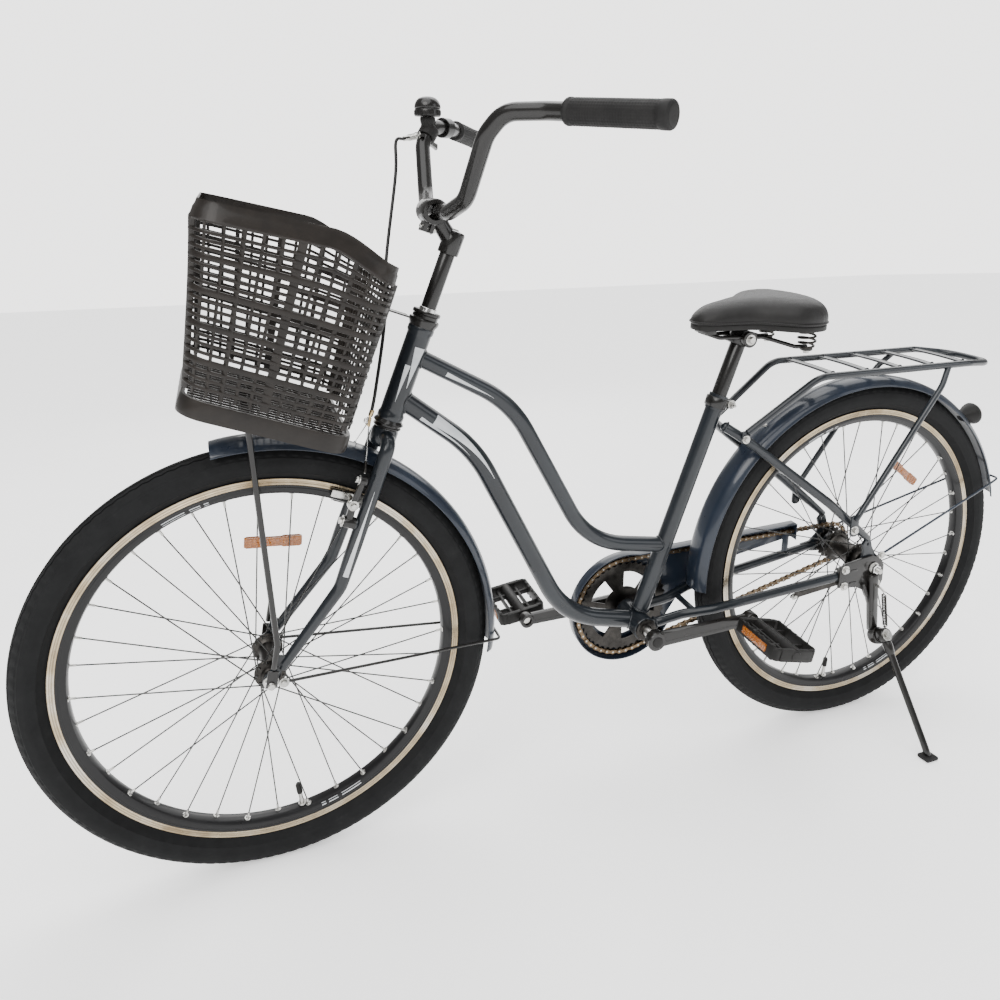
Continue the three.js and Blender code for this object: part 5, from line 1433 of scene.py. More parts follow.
def make_cable():
    """The brake cable's housing, which runs from the lever's barrel down to the hanger."""
    line = smooth_line(CABLE_ROUTE, 60)
    housing = Piece("brake_cable_housing", "steering", "black_plastic", CABLE, replaces=("brake_cable",))
    housing.add(sweep(line, circle(2.5, 16)))
    made = housing.make(sharp=60)
    yoke = Piece("brake_cable_yoke", "steering", "black_plastic", CHROME, BRASS, DARK_STEEL)
    hanger = steer_at(28, 0, 388)
    yoke.add(shaft(hanger + STEER_UP * 9, hanger - STEER_UP * 1,
                   [(0, 3), (0.15, 3.5), (0.8, 3.5), (1, 2.8)], 16), 1)
    tri = [(-9, -7), (9, -7), (9.6, -4.6), (3.2, 5), (-3.2, 5), (-9.6, -4.6)]
    place = lambda u, v, w: steer_at(25.6 + w, u, 381 + v)
    yoke.add(plate(tri, 4, place, 0.8), 1)
    yoke.add(bolt(steer_at(29.8, 0, 380), STEER_FWD, 6.5, 3.6), 0)
    for side in (1, -1):
        ends = [steer_at(27, side * 6, 375.5), steer_at(24, side * 55.6, 321.5)]
        yoke.add(pipe([ends[0], (ends[0] + ends[1]) / 2 + STEER_UP * 0.4, ends[1]], 0.95, 60, 10, 4), 0)
        a, b = ends[0] + (ends[1] - ends[0]) * 0.76, ends[1]
        yoke.add(shaft(a, b, [(0, 1.6), (0.1, 2.2), (0.9, 2.2), (1, 1.6)], 12), 2)
    yoke.make()


# -------------------------------------------------------------------------------------- basket
BASKET_LOW, BASKET_HIGH = 371.0, 614.0
# The floor's and the rim's size of each wall, then how far the rim drops at the back and the front.
BASKET_FRONT, BASKET_REAR, BASKET_HALF = (280, 336), (70, 84), (116, 152)
BASKET_CORNER = 30.0
REAR_DROP, FRONT_DROP, REAR_DROP_RUN, SLOPE_START = 27.0, 23.0, 90.0, 174.0


def basket_ring(share, inset=0.0):
    """The basket's outline at a share of its height, in steering axes, and where its rear and front
    walls are: it is wider and longer towards the rim."""
    front, rear, half = [low + (high - low) * share for low,
                         high in (BASKET_FRONT, BASKET_REAR, BASKET_HALF)]
    front, rear, half = front - inset, rear + inset, half - inset
    corner = BASKET_CORNER
    runs = [((front - corner, half - corner), 0, 90), ((rear + corner, half - corner), 90, 180),
            ((rear + corner, corner - half), 180, 270), ((front - corner, corner - half), 270, 360)]
    out = []
    for (cx, cy), a0, a1 in runs:
        for k in range(7):
            a = math.radians(a0 + (a1 - a0) * k / 6)
            out.append((cx + corner * math.cos(a), cy + corner * math.sin(a)))
    return np.array(out), rear, front


def basket_point(share, along, inset=0.0):
    """A point on the basket's wall; along runs once round the outline from 0 to 1."""
    pts, rear, front = basket_ring(share, inset)
    loop = np.vstack([pts, pts[:1]])
    seg = np.linalg.norm(np.diff(loop, axis=0), axis=1)
    total = np.concatenate([[0], np.cumsum(seg)])
    s = (along % 1.0) * total[-1]
    i = min(int(np.searchsorted(total, s, side="right")) - 1, len(seg) - 1)
    t = (s - total[i]) / max(seg[i], 1e-9)
    x, y = loop[i] + (loop[i + 1] - loop[i]) * t
    up = BASKET_LOW + (BASKET_HIGH - BASKET_LOW) * share
    ease = max(0.0, min(1.0, (rear + REAR_DROP_RUN - x) / REAR_DROP_RUN))
    drop = REAR_DROP * ease * ease * (3 - 2 * ease) * share ** 6
    slope = FRONT_DROP * max(0.0, (x - SLOPE_START) / (front - SLOPE_START)) * share ** 3
    return steer_at(x, y, up - drop - slope)


def basket_loop(share, inset, count=120):
    return np.array([basket_point(share, k / count, inset) for k in range(count)])


def make_basket():
    piece = Piece("basket_lattice", "steering", "black_plastic", BASKET, replaces=("basket",))
    centre_low = steer_at(178, 0, BASKET_LOW)

    def out_of(p):
        rel = p - centre_low
        return rel - STEER_UP * (rel @ STEER_UP)

    rim = [(0.2, -21), (2.4, -21), (2.7, -13), (4.0, -11), (4.4, -2), (5.4, 0.6), (4.6, 2.6), (1.6, 3.2),
           (-1.2, 2.4),
           (-1.8, 0.6), (-1.2, -3), (0.2, -9)]
    path = basket_loop(0.955, 6.0)
    piece.add(sweep(path, np.array(rim), loop=True, up=out_of))
    foot = [(-3.4, -3), (1.2, -3), (2.4, 2), (2.6, 15), (1.6, 20), (0, 20), (-0.2, 4), (-3.4, 1)]
    piece.add(sweep(basket_loop(0.02, 0.5), np.array(foot), loop=True, up=out_of))
    shares = [0.1 + 0.0437 * k for k in range(19)]
    for k, share in enumerate(shares):
        tall = 7.6 if k % 4 == 3 else 4.2
        thick = 2.6 if k % 4 == 3 else 2.2
        piece.add(sweep(basket_loop(share, 1.5 + (k % 2) * 0.5), slab(thick, tall, 0.8, 2), loop=True,
                        up=out_of))
    bars = 48
    for k in range(bars):
        along = (k + 0.5) / bars
        wide = {0: 11.0, 3: 6.4}.get(k % 6, 4.2)
        line = np.array([basket_point(s, along, 2.6) for s in np.linspace(0.06, 0.95, 9)])
        piece.add(sweep(line, slab(1.8, wide, 0.7, 2), up=out_of(line[4])))
    floor_y, floor_x = np.linspace(-104, 104, 19), np.linspace(82, 268, 17)
    for y in floor_y:
        squeeze = 14 * max(0, (abs(y) - 88) / 16)
        line = np.array([steer_at(x, y, BASKET_LOW + 2.6) for x in np.linspace(76 + squeeze, 274 - squeeze,
                5)])
        piece.add(sweep(line, slab(2.6, 3.0, 0.8, 2), up=STEER_UP))
    for x in floor_x:
        line = np.array([steer_at(x, y, BASKET_LOW + 1.8) for y in np.linspace(-110, 110, 5)])
        piece.add(sweep(line, slab(2.2, 2.6, 0.8, 2), up=STEER_UP))
    piece.make(sharp=42)
    fix = Piece("basket_fixings", "steering", "black_plastic", BLACK, ZINC)
    fix.add(block((46, 24, 2.6), steer_at(47, 0, 540), 0.8, steer_axes()))
    fix.add(block((3, 60, 34), steer_at(71.5, 0, 526), 1.0, steer_axes()))
    for side in (1, -1):
        fix.add(bolt(steer_at(70, side * 20, 520), -STEER_FWD, 7, 3.4), 1)
    fix.add(block((20, 132, 2.4), steer_at(200, 0, 368.6), 0.8, steer_axes()))
    fix.make()
    strut = Piece("basket_strut_wire", "steering", "black_paint", BLACK, ZINC, replaces=("basket_strut",))
    pts = [steer_at(56, 63.4, 26), steer_at(62, 64, 60), steer_at(200, 60, 366), steer_at(200, -60, 366),
           steer_at(62, -64, 60), steer_at(56, -63.4, 26)]
    strut.add(pipe(pts, 4, 14, 16, 5, dome=1.5))
    for side in (1, -1):
        spot = FRONT_AXLE + Y * side * 62.4
        arm = unit(steer_at(56, side * 63.4, 26) - spot)
        strut.add(block((26, 3, 15), spot + arm * 9, 1.1, (arm, Y, np.cross(arm, Y))))
    strut.make()


make_cable()
make_fork()
make_stem()
make_grip(1, "left")
make_grip(-1, "right")
make_lever()
make_bell()
make_brake()
make_basket()


# ---------------------------------------------------------------------- cranks and transmission
def crank_point(x, z=0.0, y=0.0):
    """A point on the crankset: x back towards the left pedal's end, turned by the crank angle."""
    a = math.radians(CRANK_ANGLE)
    return BB + v3(x * math.cos(a) + z * math.sin(a), y, -x * math.sin(a) + z * math.cos(a))


def toothed(pitch, teeth, root, tip, phase=0.0):
    """A sprocket's outline: rounded gullets between pointed teeth."""
    out = []
    step = 2 * math.pi / teeth
    for k in range(teeth):
        for share, r in ((-0.5, root), (-0.32, root + 0.5), (-0.2, pitch * 0.985), (-0.07, tip),
                         (0.07, tip),
                         (0.2, pitch * 0.985), (0.32, root + 0.5)):
            a = phase + step * (k + share)
            out.append((r * math.cos(a), r * math.sin(a)))
    return out


def ring_place(centre, y):
    return lambda u, v, w: centre + v3(u, y + w, v)


def make_chainring():
    piece = Piece("chainring_toothed", "cranks", "steel", DARK_STEEL, ZINC, replaces=("chainring",))
    holes = []
    for k in range(5):
        middle = math.radians(36 + 72 * k)
        loop = []
        for r, spread in ((66, 19), (37, 20)):
            angles = np.linspace(-spread, spread, 9)
            for a in (angles if r > 50 else angles[::-1]):
                t = middle + math.radians(a)
                loop.append((r * math.cos(t), r * math.sin(t)))
        holes.append(loop)
    rotate = math.radians(CRANK_ANGLE)
    piece.add(plate(toothed(RING_PITCH - 4.8, RING_TEETH, 80.5, 84.2, rotate), 2.6,
                    ring_place(BB, CHAIN_Y - 1.3),
                    0.35, holes=holes))
    for k in range(5):
        spot = polar(BB, 29, 72 + 72 * k, CHAIN_Y - 1.3)
        piece.add(bolt(spot, -Y, 7, 2.6), 1)
    piece.add(lathe([(17, -3), (24, -3), (33.5, -1.2), (34, 1.6), (17, 1.6)], BB + Y * CHAIN_Y, Y, 48))
    piece.make(sharp=32)
    back = Piece("rear_sprocket_toothed", "rear_sprocket", "steel", DARK_STEEL, replaces=("rear_sprocket",))
    hole = [ring_outline(20.8, 48)]
    back.add(plate(toothed(SPROCKET_PITCH - 4.9, SPROCKET_TEETH, 28.6, 32.0), 2.4,
                   ring_place(REAR_AXLE, CHAIN_Y - 1.2),
                   0.3, holes=hole))
    back.make(sharp=32)


CHAIN_LINKS, RING_TEETH, SPROCKET_TEETH = 102, 44, 18


def chain_line(count):
    """Equally spaced points on the chain's pitch line, round both sprockets."""
    along = BB - REAR_AXLE
    gap = np.linalg.norm(along)
    slope = math.atan2(along[2], along[0])
    spread = math.pi - math.acos((RING_PITCH - SPROCKET_PITCH) / gap)
    pts = []
    for centre, radius, start, end, n in ((BB, RING_PITCH, slope - spread, slope + spread, 240),
                                          (REAR_AXLE, SPROCKET_PITCH, slope + spread,
                                           slope + 2 * math.pi - spread, 90)):
        pts += [polar(centre, radius, math.degrees(start + (end - start) * k / n),
                      CHAIN_Y) for k in range(n + 1)]
    pts = np.array(pts + [pts[0]])
    run = np.concatenate([[0], np.cumsum(np.linalg.norm(np.diff(pts, axis=0), axis=1))])
    at = np.linspace(0, run[-1], count + 1)[:-1]
    return np.stack([np.interp(at, run, pts[:, i]) for i in range(3)], 1)


def make_chain():
    """A roller chain: waisted side plates, alternately inner and outer, with pins and rollers."""
    piece = Piece("chain_links", "frame", "chain_steel", CHAIN, ZINC, replaces=("chain",))
    line = chain_line(CHAIN_LINKS)
    half = []
    for k in range(9):
        a = math.radians(-115 + 230 * k / 8)
        half.append((3.9 * math.cos(a), 3.9 * math.sin(a)))
    for i in range(len(line)):
        a, b = line[i], line[(i + 1) % len(line)]
        along = unit(b - a)
        across = np.cross(along, Y)
        length = np.linalg.norm(b - a)
        outline = [(length + u, v) for u, v in half] + [(length / 2, 2.5)]
        outline += [(-u, v) for u, v in reversed(half)] + [(length / 2, -2.5)]
        offset = 2.9 if i % 2 else 1.75
        for side in (1, -1):
            m = len(outline)
            verts = [a + along * u + across * v + Y * (side * offset + w)
                     for w in (-0.45, 0.45) for u, v in outline]
            faces = [tuple(range(m)), tuple(range(2 * m - 1, m - 1, -1))]
            faces += [(k, k + m, (k + 1) % m + m, (k + 1) % m) for k in range(m)]
            piece.add((np.array(verts), faces))
        piece.add(lathe([(0.3, -1.3), (3.6, -1.3), (3.6, 1.3), (0.3, 1.3)], a, Y, 12, closed=False))
        piece.add(lathe([(0.3, -3.5), (1.5, -3.5), (1.7, -3.2), (1.7, 3.2), (1.5, 3.5), (0.3, 3.5)], a, Y,
                        8, closed=False), 1)
    piece.make(sharp=40)


CASE_R, CASE_Y = 101.0, -56.0


def case_outline(inset):
    radius = CASE_R - inset
    pts = [(BRACKET[0] + radius * math.cos(math.radians(a)),
            BRACKET[2] + radius * math.sin(math.radians(a)))
           for a in np.linspace(-155, 105, 53)]
    tail = [(88 + inset, 385 - inset), (88 + inset, 352 + inset), (300, 318 + inset)]
    start = pts[-1]
    pts += [(start[0] + (tail[0][0] - start[0]) * k / 8,
             start[1] + (tail[0][1] - start[1]) * k / 8) for k in range(1, 8)]
    return pts + [tail[0], tail[1], tail[2]]


def make_case():
    """The chain guard: a pressed disc and tail with a rolled flange, open in the middle."""
    piece = Piece("chain_guard_pressing", "frame", "navy_paint", NAVY, ZINC, MARK,
                  replaces=("chain_guard",))
    window = ring_outline(62, 64, BRACKET[0], BRACKET[2])
    piece.add(plate(case_outline(0.3), 1.4, side_place(CASE_Y + 0.2), 0.4, holes=(window,)))
    outline = np.array(case_outline(0.9))
    wall = [v3(u, CASE_Y + 9.2, v) for u, v in outline[:-1]]
    piece.add(sweep(np.array(wall), slab(1.3, 17.4, 0.5, 2), up=lambda p: unit(p - v3(300, p[1], 300))))
    flange = [v3(u, CASE_Y + 17.4, v) for u, v in case_outline(1.2)[:-1]]
    piece.add(sweep(np.array(flange), circle(1.2, 12), dome=1))
    ring = [(61.2, -0.7), (62.2, -1.0), (63.4, -0.6), (63.8, 0.2), (63.2, 1.0), (61.4, 0.8)]
    piece.add(lathe(ring, BB + Y * (CASE_Y + 0.7), Y, 96))
    for r, h in ((92, 0.5), (72, 0.45)):
        arc = np.array([polar(BB, r, a, CASE_Y + 0.1) for a in np.linspace(-150, 100, 80)])
        piece.add(sweep(arc, circle(h * 2, 10, 0.55), up=lambda p: unit(p - (BB + Y * (CASE_Y + 0.1))),
                        dome=0.5))
    for spot in (v3(104, CASE_Y + 0.1, 368), v3(352, CASE_Y + 0.1, 342), v3(470, CASE_Y + 0.1, 360)):
        piece.add(bolt(spot, -Y, 6.4, 2.6), 1)
    start, end = v3(340, CASE_Y, 352), v3(150, CASE_Y, 371)
    line = np.array([start + (end - start) * k / 20 for k in range(21)])
    piece.add(sweep(line, slab(6.5, 0.5, 0.2, 1), scale=np.linspace(1, 0.25, 21), up=Z), 2)
    tab = [v3(104, CASE_Y + 2, 372), v3(104, -49, 366), v3(104, -49, 327)]
    piece.add(sweep(rounded(tab, 6, 3), slab(14, 2.4, 1.0, 2), up=X))
    piece.make(sharp=42)


def make_crank(side, tag):
    piece = Piece("crank_" + tag + "_forging", "cranks", "black_paint", BLACK, ZINC, SATIN,
                  replaces=("crank_arm_" + tag,))
    toward = -side
    n = 18
    path, scale = [], []
    for k in range(n + 1):
        s = k / n
        path.append(crank_point(toward * CRANK * s, 0, side * (66 + 22 * s)))
        scale.append(1.0 - 0.2 * s)
    a = math.radians(CRANK_ANGLE)
    up = v3(math.sin(a), 0, math.cos(a))
    section = np.array([(-12.6, -2), (-11.6, -5.2), (-8, -6), (-5.6, -6), (-4.4, -4.2), (4.4, -4.2),
                        (5.6, -6), (8, -6),
                        (11.6, -5.2), (12.6, -2), (12.6, 2), (11.6, 5.2), (8, 6), (5.6, 6), (4.4, 4.2),
                        (-4.4, 4.2),
                        (-5.6, 6), (-8, 6), (-11.6, 5.2), (-12.6, 2)])
    piece.add(sweep(np.array(path[1:-1]), section, scale=scale[1:-1], up=up))
    boss = [(8.4, 59), (15.4, 59), (16.4, 60.4), (16.4, 72.6), (15, 74), (8.4, 74)]
    piece.add(lathe([(r, side * h) for r, h in boss], BB, Y, 48))
    end = crank_point(toward * CRANK, 0, 0)
    eye = [(7.4, 80), (11.8, 80), (12.6, 81), (12.6, 94), (11.8, 95), (7.4, 95)]
    piece.add(lathe([(r, side * h) for r, h in eye], end, Y, 40))
    cap = [(0.5, 72.4), (8.8, 72.4), (9.6, 73.4), (8.6, 75.4), (4, 76.2), (0.5, 76.3)]
    piece.add(lathe([(r, side * h) for r, h in cap], BB, Y, 32, closed=False), 2)
    if side < 0:
        for k in range(5):
            angle = 72 * k - CRANK_ANGLE
            root, tip = polar(BB, 13, angle, CHAIN_Y - 12), polar(BB, 27, angle, CHAIN_Y - 3.4)
            piece.add(sweep(np.array([root, (root + tip) / 2, tip]), slab(11, 5, 2, 3),
                            scale=[1.2, 1, 0.85],
                            up=np.cross(Y, tip - root)))
    piece.make(sharp=42)


def make_pedal(side, tag, tilt):
    """A platform pedal: cage with open windows and grip teeth, spindle, dust cap and reflectors."""
    piece = Piece("pedal_" + tag + "_platform", "pedal_" + tag, "black_plastic", SATIN, ZINC, AMBER, CHROME,
                  replaces=("pedal_" + tag,))
    centre = crank_point(-side * CRANK, 0, 0)
    t = math.radians(tilt)
    fwd, up = v3(math.cos(t), 0, -math.sin(t)), v3(math.sin(t), 0, math.cos(t))
    low, high = 101, 203
    def at(x, y, z):
        return centre + fwd * x + Y * side * y + up * z
    axes = (fwd, Y, up)
    for end in (1, -1):
        piece.add(block((6, high - low - 14, 22), at(end * 39, (low + high) / 2, 0), 2.2, axes))
        for face in (1, -1):
            for k in range(7):
                y = low + 12 + k * (high - low - 24) / 6
                piece.add(block((5, 6, 3), at(end * 38, y, face * 10.4), 1.1, axes))
        piece.add(block((2.6, 58, 12), at(end * 42.2, (low + high) / 2, 0), 0.8, axes), 2)
        for k in range(9):
            y = (low + high) / 2 - 26 + k * 6.5
            piece.add(block((1.0, 1.0, 10), at(end * 43.5, y, 0), 0.3, axes), 2)
        for edge in (low + 5.5, high - 5.5):
            corner = [at(end * 26, edge, 0), at(end * 35.5, edge, 0),
                      at(end * 39.6, edge + (6 if edge < 150 else -6), 0)]
            piece.add(sweep(rounded(corner, 4, 2), slab(20.5, 7, 2.2, 3), up=up))
    for y, w in ((low + 4.6, 8.6), (high - 4.6, 8.6)):
        piece.add(block((60, w, 20), at(0, y, 0), 2.4, axes))
    for x in (-17, 17):
        piece.add(block((4.4, high - low - 12, 9), at(x, (low + high) / 2, 0), 1.2, axes))
    for y in (low + 30, high - 30):
        piece.add(block((74, 4.2, 9), at(0, y, 0), 1.2, axes))
    piece.add(rod(at(0, low, 0), at(0, high - 2, 0), 10.6, 32))
    piece.add(shaft(at(0, 84, 0), at(0, low, 0), [(0, 6.6), (0.5, 6.6), (0.52, 8.6), (0.75, 8.6),
                                                  (0.78, 7.4), (1, 7.4)], 6), 1)
    cap = [(0.5, high - 2), (8.6, high - 2), (9.2, high - 1), (8.2, high + 0.8), (3, high + 1.2),
           (0.5, high + 1.2)]
    piece.add(lathe([(r, side * h) for r, h in cap], centre, Y, 32, closed=False))
    piece.make(sharp=44)


def make_crank_axle():
    piece = Piece("crank_spindle", "cranks", "steel", ZINC, replaces=("crank_axle",))
    profile = [(0.5, -69), (7.4, -69), (8, -68), (8, -40), (8.2, -39), (8.2, 39), (8, 40), (8, 68),
               (7.4, 69), (0.5, 69)]
    piece.add(lathe(profile, BB, Y, 32, closed=False)).make()


# ------------------------------------------------------------------- stand and coaster brake arm
STAND_PIVOT = v3(-20, 88, 205)
STAND_AXIS = unit(v3(0, 0.85099, 0.52519))
GROUND_UP = v3(0, -LEAN_S, LEAN_C)
GROUND_LIFT = -SHIFT[2] * 1000


def make_stand():
    bracket = Piece("kickstand_casting", "frame", "black_paint", BLACK, ZINC, CHROME,
                    replaces=("kickstand_bracket",))
    outline = [(76, 304), (76, 344), (60, 349), (26, 354), (4, 356), (-14, 350), (-24, 334), (-25, 304),
               (-18, 288),
               (-6, 282), (14, 288), (36, 299)]
    hole = ring_outline(9.7, 32, 0, WHEEL_R)
    bracket.add(plate(outline, 4.5, side_place(60.4), 1.2, holes=(hole,)))
    arm = rounded([v3(4, 67, 320), v3(-4, 66, 272), v3(-19, 60, 202)], 60, 5)
    n = len(arm)
    bracket.add(sweep(arm, slab(17, 15, 5, 4), scale=np.linspace(1.18, 1.0, n), up=X, dome=3))
    rib = rounded([v3(22, 64.6, 304), v3(8, 64, 276), v3(-12, 61, 232)], 60, 5)
    bracket.add(sweep(rib, slab(5, 9, 2, 3), scale=np.linspace(1.2, 0.7, len(rib)), up=X, dome=1))
    pin_a, pin_b = STAND_PIVOT - STAND_AXIS * 30, STAND_PIVOT - STAND_AXIS * 8.9
    bracket.add(shaft(pin_a, pin_b, [(0, 11), (0.12, 14.2), (0.3, 15), (0.88, 15), (0.92, 14), (1, 13.6)],
                      40))
    for x in (64, 44):
        for z in (333.6, 309.4):
            bracket.add(block((16, 17, 5), v3(x, 57.6, z), 1.6))
    for z in (338, 306):
        bracket.add(bolt(v3(64, 65, z), Y, 9, 4.6), 1)
    bracket.add(bolt(v3(-12, 64.9, 300), Y, 7, 3), 1)
    bracket.make(sharp=40)

    leg = Piece("kickstand_tube", "kickstand", "black_paint", BLACK, ZINC, GRIP,
                replaces=("kickstand_leg",))
    boss_a, boss_b = STAND_PIVOT - STAND_AXIS * 8.3, STAND_PIVOT + STAND_AXIS * 8
    leg.add(shaft(boss_a, boss_b, [(0, 12.4), (0.06, 13), (0.84, 13), (0.96, 11.6), (1, 9)], 40))
    leg.add(bolt(boss_b - STAND_AXIS * 0.4, STAND_AXIS, 11, 5.2), 1)
    low_y = 200.0
    foot = v3(-32, low_y, (GROUND_LIFT - GROUND_UP[1] * low_y) / GROUND_UP[2])
    ankle = v3(-30, 188, foot[2] + 26)
    toe = foot + GROUND_UP * 7
    start = STAND_PIVOT + unit(ankle - STAND_PIVOT) * 2
    path = rounded([start, ankle, toe + unit(toe - ankle) * 3], 18, 4)
    leg.add(sweep(path, circle(5.9, 28), scale=np.interp(np.arange(len(path)), [0, 4, len(path) - 1],
                                                         [1.2, 1.0, 1.0]), dome=2))
    collar = STAND_PIVOT + unit(ankle - STAND_PIVOT) * 12
    leg.add(shaft(collar, collar + unit(ankle - STAND_PIVOT) * 22, [(0, 8.6), (0.2, 9), (0.8, 8), (1, 6.2)],
                  32))
    side_x = X
    side_y = unit(np.cross(GROUND_UP, side_x))
    leg.add(block((25, 23, 6.4), foot + GROUND_UP * 3.9, 2.4, (side_x, side_y, GROUND_UP)), 2)
    for k in range(-2, 3):
        leg.add(block((2.0, 20, 1.2), foot + GROUND_UP * 0.9 + side_x * k * 4.6, 0.4,
                      (side_x, side_y, GROUND_UP)), 2)
    leg.make(sharp=44)

    spring = Piece("kickstand_coil", "kickstand", "steel", DARK_STEEL, ZINC, replaces=("kickstand_spring",))
    a, b = v3(-4, 90, 296), v3(-16, 92, 222)
    axis = unit(b - a)
    u = unit(np.cross(axis, Y))
    w = np.cross(axis, u)
    length = np.linalg.norm(b - a)
    turns, coil = 19, []
    for k in range(turns * 16 + 1):
        s = k / (turns * 16)
        t = 2 * math.pi * turns * s
        coil.append(a + axis * (6 + (length - 12) * s) + 3.5 * (math.cos(t) * u + math.sin(t) * w))
    hooks = [a + axis * 2 - u * 1, a + axis * 4 + u * 2]
    ends = [b - axis * 4 + u * 2, b - axis * 1 - u * 1]
    spring.add(sweep(np.array(hooks + coil + ends), circle(0.95, 8), dome=0.4))
    spring.make(sharp=60, between=("frame", a, b))

    hooks = Piece("kickstand_hooks", "frame", "black_paint", ZINC)
    hooks.add(pipe([v3(-2, 66, 300), v3(-3, 80, 301), v3(-4, 90, 297)], 2.0, 6, 12, 2, dome=1))
    hooks.make()

    arm = Piece("coaster_arm_strap", "frame", "steel", DARK_STEEL, ZINC, replaces=("coaster_brake_arm",))
    bar = [(-12, 340), (-6, 346), (10, 347), (20, 342), (38, 317), (60, 311), (160, 299.6), (165, 297),
           (165, 292.5),
           (160, 290), (60, 300), (32, 304), (8, 310), (-8, 318), (-13, 328)]
    hole = ring_outline(5.6, 24, 0, WHEEL_R)
    arm.add(plate(bar, 2.6, side_place(46.5), 0.5, holes=(hole,)))
    arm.add(bolt(v3(158, 49, 295), Y, 7, 3.4), 1)
    clip = [v3(154, 50.2, 322), v3(154, 50.6, 309), v3(155, 50.4, 296)]
    arm.add(sweep(rounded(clip, 10, 3), slab(10, 1.6, 0.6, 2), up=X))
    arm.make(sharp=40)


# -------------------------------------------------------------------------------------- saddle
SADDLE_BACK, SADDLE_NOSE = 140.0, 372.0
PAN_Z, EDGE_Z, COVER_Z, SEAM_Z = 783.2, 785.0, 785.5, 793.5
PAD_VOXEL, PAD_CAP, PAD_PRESSURE = 0.0045, 0.006, 3.2  # metres, metres, cloth pressure


def saddle_outline(count=64):
    """The saddle seen from above: a long nose that flares into a broad, rounded back."""
    curves = [((372, 0), (372, 34), (330, 32), (290, 46)), ((290, 46), (258, 58), (250, 92), (215, 92)),
              ((215, 92), (165, 92), (140, 55), (140, 0))]
    half = []
    for p0, p1, p2, p3 in curves:
        for k in range(count // 3):
            t = k / (count // 3)
            half.append([(1 - t) ** 3 * a + 3 * t * (1 - t) ** 2 * b + 3 * t * t * (1 - t) * c + t ** 3 * d
                         for a, b, c, d in zip(p0, p1, p2, p3)])
    half.append([SADDLE_BACK, 0])
    full = half + [[x, -y] for x, y in half[1:-1]][::-1]
    return np.array(full)


def scaled_outline(outline, amount):
    """The outline drawn in by an amount in mm towards its spine."""
    out = []
    n = len(outline)
    for i in range(n):
        t = unit(outline[(i + 1) % n] - outline[i - 1])
        normal = np.array([t[1], -t[0]])
        if normal @ (outline[i] - np.array([min(max(outline[i][0], 205), 335), 0])) < 0:
            normal = -normal
        out.append(outline[i] - normal * amount)
    return np.array(out)


def saddle_arch(x):
    return 3.0 * math.sin(math.pi * (x - SADDLE_BACK) / (SADDLE_NOSE - SADDLE_BACK))


def saddle_top(x):
    """Height of the saddle's crest along its length: raised at the back, dipped at the waist."""
    return float(np.interp(x, [140, 158, 195, 235, 290, 340, 372], [820, 831, 836, 834.5, 829, 822, 808]))


